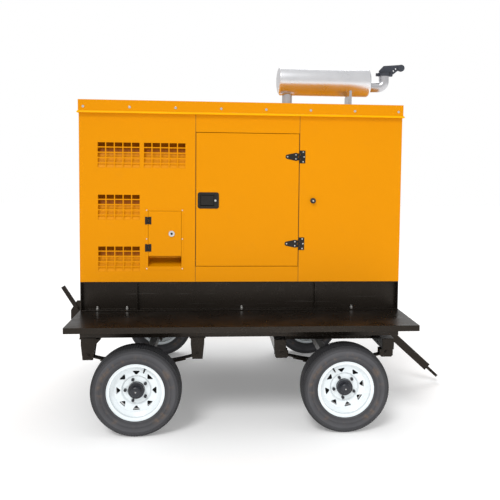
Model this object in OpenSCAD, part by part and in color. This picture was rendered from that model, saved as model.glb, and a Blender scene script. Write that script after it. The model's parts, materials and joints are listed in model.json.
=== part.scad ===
// Towable diesel generator: a canopied generating set on a skid base, carried by a decked
// four-wheel trailer with a steered front bogie. +X points to the tow eye, +Z up; Z = 0 is the road.

/* [Canopy] */
// Length of the canopy, control end to radiator end
canopy_l = 2380; // [2300:10:2900]
// Width of the canopy over its side panels
canopy_w = 1150; // [950:10:1400]
// Height of the side panels
panel_h = 1235; // [1100:5:1500]
// Depth of the roof's fascia
roof_h = 92; // [60:2:120]
// How far the roof stands out past the side panels
roof_eave = 18; // [10:1:30]
// Width of the roof's inward lip
roof_lip = 24; // [12:1:40]
// Thickness of the folded sheet
sheet_t = 2; // [1.5:0.5:3]
// Depth of each panel's inward fold
fold_d = 30; // [20:1:45]

/* [Doors] */
// Distance from the control end to the door bay
bay_start = 840; // [800:10:900]
// Width of the door bay
bay_w = 768; // [640:4:930]
// Height of the sill under the door
sill_h = 118; // [90:1:150]
// Height of the door
door_h = 984; // [800:4:1040]
// Gap around each door
door_gap = 4; // [2:0.5:8]
// Length of a strap hinge's long leaf
strap_l = 100; // [60:2:140]
// Height of the strap hinge's long leaf
strap_h = 60; // [30:1:60]
// Width of the strap hinge's fixed leaf
leaf_w = 42; // [30:1:60]
// Height of the strap hinge's fixed leaf
leaf_h = 94; // [60:2:120]
// Radius of a hinge knuckle
knuckle_r = 7; // [5:0.5:9]
// Radius of a hinge pin
pin_r = 3; // [2:0.5:4]
// Running clearance between a pin and its bore
pin_play = 0.05; // [0.02:0.01:0.1]
// Distance from the door's corner to each hinge's middle
hinge_inset = 168; // [120:4:220]
// Width of the paddle latch
latch_w = 156; // [120:2:180]
// Height of the paddle latch
latch_h = 120; // [100:2:140]
// Diameter of the rubber door stop
stop_d = 40; // [30:1:50]
// How far the rubber door stop stands out
stop_h = 30; // [20:1:36]

/* [Vents and terminal box] */
// Width of one grilled vent
vent_w = 300; // [240:5:320]
// Height of one grilled vent
vent_h = 182; // [140:2:220]
// Width of the bars between a vent's openings
vent_bar = 8; // [5:1:12]
// Height between two rows of vents
vent_pitch = 380; // [280:5:400]
// Openings in each row and column of a vent
vent_cells = 5; // [3:1:7]
// Width of the terminal box's frame
term_w = 278; // [250:2:320]
// Height of the terminal box's frame
term_h = 452; // [400:2:500]
// Width of the terminal box's door
term_door_w = 240; // [200:2:244]
// Height of the terminal box's door
term_door_h = 331; // [280:1:350]
// Depth of the terminal box
term_d = 140; // [100:5:180]

/* [Base and deck] */
// Height of the skid base
base_h = 220; // [180:5:280]
// Depth of the base channel's flanges
flange_d = 58; // [40:2:80]
// Thickness of the base's plates
plate_t = 8; // [6:1:12]
// Height of the deck's top above the road
deck_top = 752; // [752:2:900]
// Length of the deck
deck_l = 2400; // [2400:10:3000]
// Width of the deck
deck_w = 2200; // [1900:10:2500]
// Height of the deck's edge
deck_edge = 40; // [30:1:60]
// Thickness of the deck's plate
deck_t = 5; // [3:0.5:8]

/* [Chassis and running gear] */
// Height of the chassis rails
rail_h = 150; // [120:2:160]
// Width of the chassis rails
rail_w = 60; // [50:2:80]
// Wall of the chassis rails
rail_t = 6; // [4:0.5:8]
// Distance from the vehicle's middle to each spring
spring_y = 575; // [520:5:640]
// Distance from the control end of the chassis to the rear axle
rear_axle_in = 459; // [440:5:520]
// Distance from the radiator end of the chassis to the front axle
front_axle_in = 492; // [470:5:560]
// Distance between a spring's eyes
spring_l = 800; // [700:10:820]
// Width of a spring leaf
leaf_spring_w = 60; // [45:1:70]
// Thickness of a spring leaf
leaf_spring_t = 9; // [6:0.5:10]
// Number of leaves in a spring
leaf_count = 4; // [3:1:5]
// Gap between two leaves
leaf_gap = 0.3; // [0.2:0.1:1]
// Height of a spring's eyes above the middle of its main leaf
spring_camber = 60; // [45:5:80]
// Side of the square axle beams
axle_s = 60; // [50:2:70]
// Outer radius of the turntable
ring_r = 350; // [300:5:380]
// Height of each turntable ring
ring_h = 30; // [20:1:34]
// Gap between the two turntable rings
ring_play = 0.4; // [0.3:0.1:0.8]

/* [Wheels] */
// Radius of the tyre
tyre_r = 306; // [290:1:315]
// Width of the tyre
tyre_w = 185; // [165:1:205]
// Radius of the rim's flange
rim_r = 195; // [185:1:200]
// Width of the rim between its flanges
rim_w = 140; // [127:1:150]
// Thickness of the wheel's disc
disc_t = 6; // [4:0.5:8]
// Number of triangular windows in the wheel's disc
window_count = 8; // [6:1:10]
// Radius of the circle of wheel studs
stud_ring_r = 75; // [57:0.5:80]
// Number of wheel studs
stud_count = 5; // [4:1:6]
// Radius of the hub's barrel
hub_r = 55; // [50:1:60]
// Radius of the spindle
spindle_r = 20; // [16:1:24]

// How far the front wheels have rolled on from the rear ones
front_wheel_turn = 11; // [0:1:45]
/* [Drawbar and parking brake] */
// Side of the drawbar's square tube
drawbar_s = 64; // [50:2:70]
// Distance from the drawbar's pivot to the middle of its eye
drawbar_l = 638; // [560:2:700]
// Angle at which the parked drawbar hangs below the horizontal
drawbar_drop = 42; // [35:1:44]
// Outer radius of the tow eye
eye_r = 46; // [40:1:50]
// Radius of the tow eye's hole
eye_hole_r = 25; // [20:1:30]
// Thickness of the tow eye
eye_t = 24; // [18:1:30]
// Length of the brake lever above its pivot
lever_l = 228; // [180:2:300]
// Angle of the released brake lever above the horizontal
lever_rise = 58; // [45:1:65]

/* [Exhaust] */
// Radius of the silencer
silencer_r = 111; // [90:1:125]
// Length of the silencer's barrel
silencer_l = 753; // [600:1:850]
// Clearance under the silencer
silencer_gap = 123; // [90:1:160]
// Outer radius of the exhaust pipes
pipe_r = 41; // [30:0.5:45]
// Wall of the exhaust pipes
pipe_t = 3; // [2:0.5:4]

/* [Engine set] */
// Height of the crankshaft above the base
crank_up = 345; // [330:5:400]
// Length of the engine block
block_l = 560; // [500:10:600]
// Width of the engine block
block_w = 300; // [260:10:360]
// Radius of the generator's casing
generator_r = 230; // [200:5:250]
// Radius of the cooling fan
fan_r = 270; // [240:5:290]
// Number of fan blades
fan_blades = 7; // [5:1:9]

/* [Hidden] */
$fn = 48;

// Paint colours
c_canopy = "orange";
c_black = [0.07, 0.07, 0.08];
c_silver = [0.72, 0.73, 0.74];
c_white = [0.93, 0.94, 0.94];
c_rubber = [0.13, 0.13, 0.13];
c_engine = [0.16, 0.3, 0.25];
c_chrome = [0.85, 0.85, 0.86];

// Stations along the vehicle, measured from the middle of the canopy
rear_x = -canopy_l / 2;
front_x = canopy_l / 2;
bay_x0 = rear_x + bay_start;
bay_x1 = bay_x0 + bay_w;
rear_axle_x = rear_x + rear_axle_in;
front_axle_x = front_x - front_axle_in;
face_y = -canopy_w / 2;

// Heights above the road
rail_top = deck_top - deck_edge;
rail_z = rail_top - rail_h;
base_top = deck_top + base_h;
roof_z = base_top + panel_h;
roof_top = roof_z + roof_h;
door_z0 = base_top + sill_h;
door_z1 = door_z0 + door_h;
axle_top = tyre_r + axle_s / 2;
leaf_pitch = leaf_spring_t + leaf_gap;
main_leaf_z = axle_top + leaf_count * leaf_pitch;
eye_wall_r = 20;
eye_w = leaf_spring_w + 1;
eye_pin_r = 10;
eye_z = main_leaf_z + spring_camber;
member_z = rail_z + 38;
ring_z = member_z - 2 * ring_h - ring_play;
beam_h = 84;
beam_w = 90;

// Middle planes of the wheels, flush with the deck's edge outside
wheel_y = deck_w / 2 - tyre_w / 2;

// Drawbar pivot on the bogie's front beam
spring_half = spring_l / 2;
beam_front_x = front_axle_x + spring_half + 12;
pivot_x = beam_front_x + beam_w / 2 + 40;
pivot_z = ring_z - 28;
tow_tip_x = pivot_x + (drawbar_l + eye_r) * cos(drawbar_drop) + eye_t / 2 * sin(drawbar_drop);

// Brake lever pivot behind the chassis
lever_x = rear_x - 134;
lever_z = rail_top - 57;
lever_w = 30;
lever_gap = 16;
lever_tip_x = lever_x - (lever_l - 8) * cos(lever_rise) - lever_w / 2 * sin(lever_rise);

// The origin lies under the middle of the whole vehicle
canopy_x = -(tow_tip_x + lever_tip_x) / 2;

// Silencer on the roof
silencer_x0 = 312;
silencer_z = roof_top + silencer_gap + silencer_r;
inlet_x = silencer_x0 + 66;
outlet_z = silencer_z - 31;
outlet_x = silencer_x0 + silencer_l + 119;
outlet_top = silencer_z + 85;
elbow_r = 52;

// Engine set inside the canopy
crank_z = base_top + crank_up;
block_x0 = -60;
block_x1 = block_x0 + block_l;
block_z0 = crank_z - 160;
block_z1 = crank_z + 230;
sump_z = block_z0 - 100;
mount_h = 40;
feet_z = base_top + mount_h;
foot_y = 270;
bearer_w = 80;
bearer_h = 40;
bell_l = 100;
casing_l = 520;
casing_x1 = block_x0 - bell_l;
casing_x0 = casing_x1 - casing_l;
fan_z = crank_z + 200;
fan_x = block_x1 + 190;
fan_t = 60;
radiator_x = fan_x + 60;
radiator_w = 720;
radiator_z1 = fan_z + fan_r + 70;
bearer_xs = [rear_x + 260, casing_x0 + 80, block_x0 + 60, block_x1 - 90, radiator_x + 50];
tank_y = canopy_w / 2 - flange_d - plate_t - 19;
tank_x0 = -560;
tank_x1 = 560;
tank_z1 = base_top - bearer_h - 12;
neck_x = 200;
neck_y = -400;
neck_r = 30;
neck_top = base_top + 30;

// Control end
control_w = 420;
control_h = 400;
control_z = base_top + 500;
button_y = -320;
button_z = control_z + 260;

// Faces of a door hinge: the pin stands one knuckle outside the panels
hinge_y = face_y - knuckle_r - 1;
hinge_x = bay_x1 - door_gap / 2;
strap_t = 3;
hinge_zs = [door_z0 + hinge_inset, door_z1 - hinge_inset];
latch_x = bay_x0 + 94;
latch_z = base_top + 605;
latch_d = 22;
latch_rim = 4;
latch_corner = 14;
screw_r = 5;
stop_x = bay_x1 + 104;
stop_z = latch_z + 4;

// Vent positions on the generator side
vent_x = [rear_x + 133, rear_x + 465];
vent_z = base_top + 80;
vent_spots = [[0, 2], [1, 2], [0, 1], [0, 0]];
term_x0 = rear_x + 475;
term_z0 = base_top + 89;
term_in = 12;
term_door_x0 = term_x0 + 21;
term_door_z1 = term_z0 + term_h - 17;
term_door_z0 = term_door_z1 - term_door_h;
term_hinge_x = term_door_x0 - 2;
term_hinge_y = face_y - sheet_t - 6;
term_knuckle_r = 5;
term_lock_x = term_door_x0 + 170;
term_lock_z = term_door_z0 + 165;
lock_r = 10;

module on_canopy() translate([canopy_x, 0, 0]) children();

module both_sides() {
    children();
    mirror([0, 1, 0]) children();
}

// A box between two limits on each axis
module block(x, y, z) translate([x[0], y[0], z[0]]) cube([x[1] - x[0], y[1] - y[0], z[1] - z[0]]);

// A rod along X, Y or Z from its low end
module rod_x(x, y, z, r, l) translate([x, y, z]) rotate([0, 90, 0]) cylinder(r = r, h = l);
module rod_y(x, y, z, r, l) translate([x, y, z]) rotate([-90, 0, 0]) cylinder(r = r, h = l);
module rod_z(x, y, z, r, l) translate([x, y, z]) cylinder(r = r, h = l);

// A square tube along Y between two limits, open at both ends
module tube_y(x, y, z, t) difference() {
    block(x, y, z);
    block([x[0] + t, x[1] - t], [y[0] - 1, y[1] + 1], [z[0] + t, z[1] - t]);
}

// A hexagon head or nut standing on Z
module hex_z(x, y, z, r, h) translate([x, y, z]) cylinder(r = r, h = h, $fn = 6);

// An outline in the XZ plane given a thickness along Y, from y upwards
module plate_xz(y, t) translate([0, y + t, 0]) rotate([90, 0, 0]) linear_extrude(t) children();

// A folded tray on the near side: its face is flush with face_y and its folds point inwards
module tray(x, z, d) difference() {
    block(x, [face_y, face_y + d], z);
    block([x[0] + sheet_t, x[1] - sheet_t], [face_y + sheet_t, face_y + d + 1],
        [z[0] + sheet_t, z[1] - sheet_t]);
}

// The openings of one grilled vent, as an outline from its low left corner
module vent_outline() {
    cell_w = (vent_w - (vent_cells - 1) * vent_bar) / vent_cells;
    cell_h = (vent_h - (vent_cells - 1) * vent_bar) / vent_cells;
    for (i = [0 : vent_cells - 1], j = [0 : vent_cells - 1])
        translate([i * (cell_w + vent_bar), j * (cell_h + vent_bar)]) square([cell_w, cell_h]);
}

// The rain baffle behind one vent: a sloped plate with two cheeks, open at its top
module vent_baffle(x, z) {
    reach = 70;
    top = z + vent_h + 6;
    low = z - 12;
    slope = [[face_y + sheet_t, low], [face_y + reach, top], [face_y + reach - 3, top],
        [face_y + sheet_t, low + 8]];
    cheek = [[face_y + sheet_t, low], [face_y + reach, top], [face_y + sheet_t, top]];
    translate([x - 6, 0, 0]) rotate([90, 0, 90]) linear_extrude(vent_w + 12) polygon(slope);
    for (cx = [x - 6, x + vent_w + 6 - sheet_t])
        translate([cx, 0, 0]) rotate([90, 0, 90]) linear_extrude(sheet_t) polygon(cheek);
}

module chassis_frame() color(c_black) on_canopy() {
    both_sides() difference() {
        block([rear_x, front_x], [-spring_y - rail_w / 2, -spring_y + rail_w / 2], [rail_z, rail_top]);
        block([rear_x - 1, front_x + 1], [-spring_y - rail_w / 2 + rail_t, -spring_y + rail_w / 2 + 1],
            [rail_z + rail_t, rail_top - rail_t]);
    }
    inner_y = spring_y - rail_w / 2 + 20;
    ring_member = ring_r * 0.74;
    for (x = [rear_x + 30, rear_axle_x, -120, front_axle_x - ring_member, front_axle_x + ring_member,
        front_x - 30])
        tube_y([x - 30, x + 30], [-inner_y, inner_y], [member_z, rail_top - rail_t], rail_t);
    // Upper ring of the turntable, bolted under its two cross members
    difference() {
        rod_z(front_axle_x, 0, member_z - ring_h, ring_r, ring_h);
        rod_z(front_axle_x, 0, member_z - ring_h - 1, ring_r - 70, ring_h + 2);
    }
}

module deck() color(c_black) on_canopy() {
    edge_t = 5;
    half_l = deck_l / 2;
    half_w = deck_w / 2;
    block([-half_l, half_l], [-half_w, half_w], [deck_top - deck_t, deck_top]);
    for (x = [-half_l, half_l - edge_t])
        block([x, x + edge_t], [-half_w, half_w], [rail_top, deck_top - deck_t]);
    for (y = [-half_w, half_w - edge_t])
        block([-half_l, half_l], [y, y + edge_t], [rail_top, deck_top - deck_t]);
    beams = 6;
    for (i = [0 : beams - 1]) {
        x = -half_l + 90 + i * (deck_l - 180) / (beams - 1);
        for (web = [x - 25, x + 20])
            block([web, web + 5], [-half_w + edge_t, half_w - edge_t], [rail_top, deck_top - deck_t]);
    }
}

// A leaf spring: leaves in nested arcs about a centre above it, and the eyes of its main leaf
module leaf_spring(x) {
    arc_r = (pow(spring_half, 2) + pow(spring_camber, 2)) / (2 * spring_camber);
    centre_z = main_leaf_z + arc_r;
    half_angle = asin((spring_half - (eye_wall_r + eye_pin_r) / 2) / arc_r);
    for (i = [0 : leaf_count - 1]) {
        a = half_angle * (1 - 0.2 * i);
        translate([x, leaf_spring_w / 2, centre_z]) rotate([90, 0, 0]) rotate([0, 0, -90 - a])
            rotate_extrude(angle = 2 * a, $fn = 96)
                translate([arc_r + i * leaf_pitch, 0]) square([leaf_spring_t, leaf_spring_w]);
    }
    for (s = [-1, 1]) difference() {
        rod_y(x + s * spring_half, -eye_w / 2, eye_z, eye_wall_r, eye_w);
        rod_y(x + s * spring_half, -eye_w, eye_z, eye_pin_r, 2 * eye_w);
    }
}

// The top plate, U bolts and bottom plate that clamp one spring to its axle
module spring_clamp(x) {
    bolt_x = axle_s / 2 + 10;
    bolt_y = leaf_spring_w / 2 + 9;
    low_z = tyre_r - axle_s / 2 - 12;
    top_z = main_leaf_z + 3;
    block([x - bolt_x - 14, x + bolt_x + 14], [-bolt_y - 12, bolt_y + 12], [top_z, top_z + 10]);
    block([x - bolt_x - 14, x + bolt_x + 14], [-bolt_y - 12, bolt_y + 12], [low_z, low_z + 12]);
    for (sx = [-1, 1], sy = [-1, 1]) {
        rod_z(x + sx * bolt_x, sy * bolt_y, low_z - 16, 7, top_z - low_z + 44);
        hex_z(x + sx * bolt_x, sy * bolt_y, top_z + 10, 12, 11);
        hex_z(x + sx * bolt_x, sy * bolt_y, low_z - 11, 12, 11);
    }
    block([x - bolt_x - 10, x + bolt_x + 10], [3 - leaf_spring_w / 2, leaf_spring_w / 2 - 3],
        [main_leaf_z + 1.3, top_z + 1]);
}

// Two plates astride a spring's eye, with the eye's bolt and a gusset towards s
module spring_hanger(x, top, s) {
    gap = leaf_spring_w / 2 + 1;
    t = 8;
    low = eye_z - 34;
    shape = [[x - 50, top], [x + 50 + (s > 0 ? 46 : 0), top], [x + 50 + (s > 0 ? 4 : 0), top - 46],
        [x + 38, low], [x - 38, low], [x - 50, top - 46]];
    for (y = [-gap - t, gap]) plate_xz(y, t) polygon(shape);
    rod_y(x, -gap - t - 12, eye_z, eye_pin_r - pin_play, 2 * (gap + t + 12));
    for (y = [-gap - t - 9, gap + t]) translate([x, y, eye_z]) rotate([-90, 0, 0])
        cylinder(r = 15, h = 9, $fn = 6);
}

module rear_spring_hangers() color(c_black) on_canopy() both_sides() translate([0, -spring_y, 0])
    for (s = [-1, 1]) {
        x = rear_axle_x + s * spring_half;
        half = leaf_spring_w / 2 + 9;
        spring_hanger(x, rail_z - plate_t + 1, -s);
        block([x - 60, x + 60], [-half, half], [rail_z - plate_t, rail_z]);
    }

module rear_springs() color(c_black) on_canopy() both_sides() translate([0, -spring_y, 0]) {
    leaf_spring(rear_axle_x);
    spring_clamp(rear_axle_x);
}

module axle(x) {
    inner_y = wheel_y - 112;
    difference() {
        block([x - axle_s / 2, x + axle_s / 2], [-inner_y, inner_y],
            [tyre_r - axle_s / 2, tyre_r + axle_s / 2]);
        block([x - axle_s / 2 + 6, x + axle_s / 2 - 6], [-inner_y + 30, inner_y - 30],
            [tyre_r - axle_s / 2 + 6, tyre_r + axle_s / 2 - 6]);
    }
    both_sides() {
        rod_y(x, -inner_y - 12, tyre_r, spindle_r + 12, 12);
        rod_y(x, -wheel_y - 44, tyre_r, spindle_r, 44 + wheel_y - inner_y);
    }
}

module rear_axle() color(c_black) on_canopy() axle(rear_axle_x);

module base_frame() color(c_black) on_canopy() {
    web_y = -canopy_w / 2 + flange_d;
    both_sides() {
        block([rear_x, front_x], [web_y, web_y + plate_t], [deck_top, base_top]);
        for (z = [deck_top, base_top - plate_t])
            block([rear_x, front_x], [face_y + 4, web_y + 1], [z, z + plate_t]);
        for (x = [rear_x + 406, front_x - 640])
            block([x, x + plate_t], [face_y + 16, web_y + 1], [deck_top + 1, base_top - 1]);
        block([tank_x0 - 20, tank_x1 + 20], [web_y + plate_t - 1, -tank_y + 60],
            [deck_top, deck_top + plate_t]);
        // Plates across both ends of the skid
        for (x = [rear_x, front_x - plate_t])
            block([x, x + plate_t], [face_y + 4, 1], [deck_top, base_top]);
    }
    for (x = bearer_xs)
        tube_y([x - bearer_w / 2, x + bearer_w / 2], [web_y + 1, -web_y - 1],
            [base_top - bearer_h, base_top], 6);
}

module frame_bolts() color(c_black) on_canopy() {
    low = deck_top + plate_t;
    both_sides() {
        for (x = [rear_x + 119, rear_x + 337, -3, front_x - 355]) {
            rod_z(x, face_y + 34, low, 8, 26);
            hex_z(x, face_y + 34, low, 14, 13);
        }
        roof_pitch = (canopy_l - 70) / 7;
        for (i = [0 : 7])
            translate([rear_x + 35 + i * roof_pitch, face_y - roof_eave, roof_z + roof_h * 0.45])
                rotate([90, 0, 0]) cylinder(r = 9, h = 4);
    }
}

module side_vents() for (spot = vent_spots)
    translate([vent_x[spot[0]], face_y + sheet_t + 1, vent_z + spot[1] * vent_pitch])
        rotate([90, 0, 0]) linear_extrude(sheet_t + 2) vent_outline();

module generator_side_panels() color(c_canopy) on_canopy() {
    for (side = [0, 1]) mirror([0, side, 0]) {
        difference() {
            tray([rear_x, bay_x0], [base_top, roof_z], fold_d);
            side_vents();
            if (side == 0) block([term_x0 + term_in, term_x0 + term_w - term_in],
                [face_y - 1, face_y + sheet_t + 1], [term_z0 + term_in, term_z0 + term_h - term_in]);
        }
        for (spot = vent_spots) vent_baffle(vent_x[spot[0]], vent_z + spot[1] * vent_pitch);
    }
}

module radiator_side_panels() color(c_canopy) on_canopy() both_sides()
    tray([bay_x1, front_x], [base_top, roof_z], fold_d);

module door_surrounds() color(c_canopy) on_canopy() both_sides() {
    tray([bay_x0, bay_x1], [base_top, door_z0 - door_gap], fold_d);
    tray([bay_x0, bay_x1], [door_z1 + door_gap, roof_z], fold_d);
}

// An end panel between the two sides, its face flush with the canopy's end at x
module end_tray(x, s) {
    half = canopy_w / 2 - fold_d;
    difference() {
        block(s < 0 ? [x, x + fold_d] : [x - fold_d, x], [-half, half], [base_top, roof_z]);
        block(s < 0 ? [x + sheet_t, x + fold_d + 1] : [x - fold_d - 1, x - sheet_t],
            [-half + sheet_t, half - sheet_t], [base_top + sheet_t, roof_z - sheet_t]);
    }
}

module control_end_panel() color(c_canopy) on_canopy() {
    difference() {
        end_tray(rear_x, -1);
        block([rear_x - 1, rear_x + fold_d], [-control_w / 2, control_w / 2],
            [control_z, control_z + control_h]);
        rod_x(rear_x - 1, button_y, button_z, 10 + pin_play, fold_d);
    }
    for (z = [control_z + 60, control_z + control_h - 110]) {
        block([rear_x - 3, rear_x], [control_w / 2 + 6, control_w / 2 + 40], [z, z + 50]);
        rod_z(rear_x - 7, control_w / 2 + 2, z, term_knuckle_r, 24);
        rod_z(rear_x - 7, control_w / 2 + 2, z + 23, pin_r, 26);
        block([rear_x - 7, rear_x - 3], [control_w / 2 + 2, control_w / 2 + 8], [z, z + 24]);
    }
}

module radiator_end_panel() color(c_canopy) on_canopy() difference() {
    end_tray(front_x, 1);
    for (y = [-vent_w - 40, 40], k = [0 : 2])
        translate([front_x - sheet_t - 1, y, vent_z + k * vent_pitch]) rotate([90, 0, 90])
            linear_extrude(sheet_t + 2) vent_outline();
}

module roof() color(c_canopy) on_canopy() {
    half = canopy_w / 2 + roof_eave;
    difference() {
        block([rear_x - 2, front_x + 2], [-half, half], [roof_z, roof_top]);
        block([rear_x, front_x], [-half + sheet_t, half - sheet_t], [roof_z + sheet_t, roof_top - sheet_t]);
        block([rear_x + roof_lip, front_x - roof_lip], [-canopy_w / 2 + roof_lip, canopy_w / 2 - roof_lip],
            [roof_z - 1, roof_z + sheet_t + 1]);
        rod_z(inlet_x, 0, roof_top - sheet_t - 1, pipe_r + 8, sheet_t + 2);
    }
}

// The fixed leaf of each strap hinge, on the panel beside the door, with its middle knuckle and pin
module hinge_leaves() color(c_black) on_canopy() both_sides() for (z = hinge_zs) {
    difference() {
        block([hinge_x + 3, hinge_x + 3 + leaf_w], [face_y - strap_t, face_y], [z - leaf_h / 2, z + leaf_h / 2]);
        for (k = [-1, 1]) block([hinge_x + 2, hinge_x + knuckle_r + 2], [face_y - strap_t - 1, face_y + 1],
            [z + k * 16 - 9, z + k * 16 + 9]);
    }
    for (k = [-1, 0, 1]) translate([hinge_x + 29 + (k == 0 ? 6 : 0), face_y - strap_t, z + k * (leaf_h / 2 - 11)])
        rotate([90, 0, 0]) cylinder(r = screw_r, h = 2);
    difference() {
        rod_z(hinge_x, hinge_y, z - 6, knuckle_r, 12);
        block([hinge_x - 20, hinge_x - 3], [face_y - strap_t - 1, face_y], [z - 8, z + 8]);
    }
    block([hinge_x, hinge_x + 4], [hinge_y + 1, face_y], [z - 6, z + 6]);
    rod_z(hinge_x, hinge_y, z - 24, pin_r, 48);
}

module door_stops() color(c_rubber) on_canopy() both_sides() {
    translate([stop_x, face_y, stop_z]) rotate([90, 0, 0]) {
        cylinder(r = stop_d / 2, h = stop_h - 6);
        cylinder(r = stop_d / 2 - 6, h = stop_h);
    }
}

module terminal_box() color(c_canopy) on_canopy() {
    frame_y = face_y - sheet_t;
    difference() {
        block([term_x0, term_x0 + term_w], [frame_y, face_y], [term_z0, term_z0 + term_h]);
        block([term_door_x0 - 2, term_door_x0 + term_door_w + 2], [frame_y - 1, face_y + 1],
            [term_z0 + 26, term_door_z1 + 2]);
    }
    in_x = [term_x0 + term_in, term_x0 + term_w - term_in];
    in_z = [term_z0 + term_in, term_z0 + term_h - term_in];
    difference() {
        block(in_x, [face_y, face_y + term_d], in_z);
        block([in_x[0] + sheet_t, in_x[1] - sheet_t], [face_y - 1, face_y + term_d - sheet_t],
            [in_z[0] + sheet_t, in_z[1] - sheet_t]);
    }
    // Sloped floor that sheds rain out of the cable slot
    translate([in_x[0] + 1, 0, 0]) rotate([90, 0, 90]) linear_extrude(in_x[1] - in_x[0] - 2)
        polygon([[face_y, in_z[0] + 1], [face_y + term_d - 1, in_z[0] + 1],
            [face_y + term_d - 1, in_z[0] + 60], [face_y, in_z[0] + 12]]);
    // Busbar studs and breaker
    for (i = [0 : 3]) translate([in_x[0] + 50 + i * 48, face_y + term_d - sheet_t, in_z[0] + 130])
        rotate([90, 0, 0]) {
            cylinder(r = 14, h = 22);
            cylinder(r = 6, h = 48);
        }
    block([in_x[0] + 60, in_x[1] - 60], [face_y + term_d - 80, face_y + term_d - 1],
        [in_z[0] + 220, in_z[0] + 360]);
    for (x = [term_x0 + 9, term_x0 + term_w - 9], z = [term_z0 + 10, term_z0 + term_h / 2 + 4,
        term_z0 + term_h - 10]) translate([x, frame_y, z]) rotate([90, 0, 0]) cylinder(r = 4.5, h = 2);
    for (z = [term_door_z0 + 60, term_door_z1 - 70]) {
        block([term_hinge_x - 22, term_hinge_x - 6], [frame_y - 3, frame_y], [z - 28, z + 28]);
        block([term_hinge_x - 8, term_hinge_x], [term_hinge_y, frame_y - 1], [z - 8, z + 8]);
        rod_z(term_hinge_x, term_hinge_y, z - 8, term_knuckle_r, 16);
        rod_z(term_hinge_x, term_hinge_y, z - 26, pin_r, 52);
    }
}

// A quarter bend in the XZ plane from +X to +Z, centred at x, z
module bend(x, z, r_bend, r_out, r_in) translate([x, 0, z]) rotate([90, 0, 0]) rotate([0, 0, -90])
    rotate_extrude(angle = 90) translate([r_bend, 0]) difference() {
        circle(r = r_out);
        circle(r = r_in);
    }

module silencer() color(c_silver) on_canopy() {
    end_x = silencer_x0 + silencer_l;
    in_r = pipe_r - pipe_t;
    difference() {
        union() {
            rod_x(silencer_x0, 0, silencer_z, silencer_r, silencer_l);
            for (x = [silencer_x0 - 26, end_x]) rod_x(x, 0, silencer_z, silencer_r - 10, 26);
            rod_x(silencer_x0 - 34, 0, silencer_z, silencer_r - 34, 20);
            for (x = [silencer_x0 - 5, end_x - 5]) rod_x(x, 0, silencer_z, silencer_r + 3, 10);
            rod_z(inlet_x, 0, roof_top + 20, pipe_r, silencer_z - roof_top - 40);
        }
        rod_x(silencer_x0 - 20, 0, silencer_z, silencer_r - 16, silencer_l + 40);
        rod_x(silencer_x0 + 4, 0, silencer_z, silencer_r - 4, silencer_l - 8);
        rod_z(inlet_x, 0, roof_top - 1, in_r, silencer_z - roof_top);
        rod_x(end_x + 10, 0, outlet_z, in_r, 40);
    }
    // Outlet pipe and its upturned bend
    difference() {
        rod_x(end_x + 22, 0, outlet_z, pipe_r, outlet_x - elbow_r - end_x - 22);
        rod_x(end_x + 21, 0, outlet_z, in_r, outlet_x - end_x);
    }
    bend(outlet_x - elbow_r, outlet_z + elbow_r, elbow_r, pipe_r, in_r);
    difference() {
        rod_z(outlet_x, 0, outlet_z + elbow_r, pipe_r, outlet_top - outlet_z - elbow_r);
        rod_z(outlet_x, 0, outlet_z + elbow_r - 1, in_r, outlet_top);
    }
    // Flange under the inlet and the saddle under the outlet end
    difference() {
        rod_z(inlet_x, 0, roof_top, pipe_r + 30, 22);
        rod_z(inlet_x, 0, roof_top - 1, in_r, 40);
    }
    saddle_x = end_x - 172;
    difference() {
        block([saddle_x - 20, saddle_x + 20], [-silencer_r, silencer_r], [roof_top, silencer_z - 30]);
        rod_x(saddle_x - 21, 0, silencer_z, silencer_r - 1, 42);
        block([saddle_x - 14, saddle_x + 21], [-silencer_r + 12, silencer_r - 12], [roof_top + 6, silencer_z]);
    }
}

cap_hinge_x = outlet_x + pipe_r + 22;
cap_hinge_z = outlet_top + 8;
module rain_cap_clamp() color(c_black) on_canopy() {
    low = outlet_top - 24;
    difference() {
        union() {
            rod_z(outlet_x, 0, low, pipe_r + 4.3, 24);
            block([outlet_x - pipe_r - 26, outlet_x - pipe_r], [-9, 9], [low, low + 24]);
            block([outlet_x + pipe_r, cap_hinge_x - 8], [-16, 16], [low, low + 10]);
        }
        rod_z(outlet_x, 0, low - 1, pipe_r + 0.3, 26);
        block([outlet_x - pipe_r - 27, outlet_x - pipe_r + 3], [-2, 2], [low - 1, low + 25]);
    }
    rod_y(outlet_x - pipe_r - 16, -20, low + 12, 4, 40);
    for (y = [-16, 10]) block([cap_hinge_x - 12, cap_hinge_x + 7], [y, y + 6], [low, cap_hinge_z + 8]);
    rod_y(cap_hinge_x, -19, cap_hinge_z, pin_r, 38);
}

module rain_cap_flap() color(c_black) on_canopy() {
    lid_z = outlet_top + 1;
    weight_x = outlet_x + 143;
    weight_z = outlet_top + 46;
    difference() {
        union() {
            rod_z(outlet_x, 0, lid_z, pipe_r + 6, 4);
            rod_y(cap_hinge_x, -9, cap_hinge_z, 7, 18);
            // Cast arm that stands on the lid and carries the counterweight
            plate_xz(-5, 10) polygon([[outlet_x - 38, lid_z + 3], [outlet_x - 44, lid_z + 18],
                [outlet_x - 4, lid_z + 60], [weight_x - 4, weight_z + 27], [weight_x, weight_z - 27],
                [weight_x - 27, weight_z - 22], [cap_hinge_x + 14, cap_hinge_z - 15],
                [cap_hinge_x - 5, cap_hinge_z - 4], [outlet_x + 36, lid_z + 3]]);
            rod_y(weight_x, -13, weight_z, 28, 26);
        }
        rod_y(cap_hinge_x, -12, cap_hinge_z, pin_r + pin_play, 24);
        rod_y(weight_x - 45, -6, weight_z - 7, 6, 12);
        rod_y(weight_x - 63, -6, weight_z - 24, 6, 12);
    }
}

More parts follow.
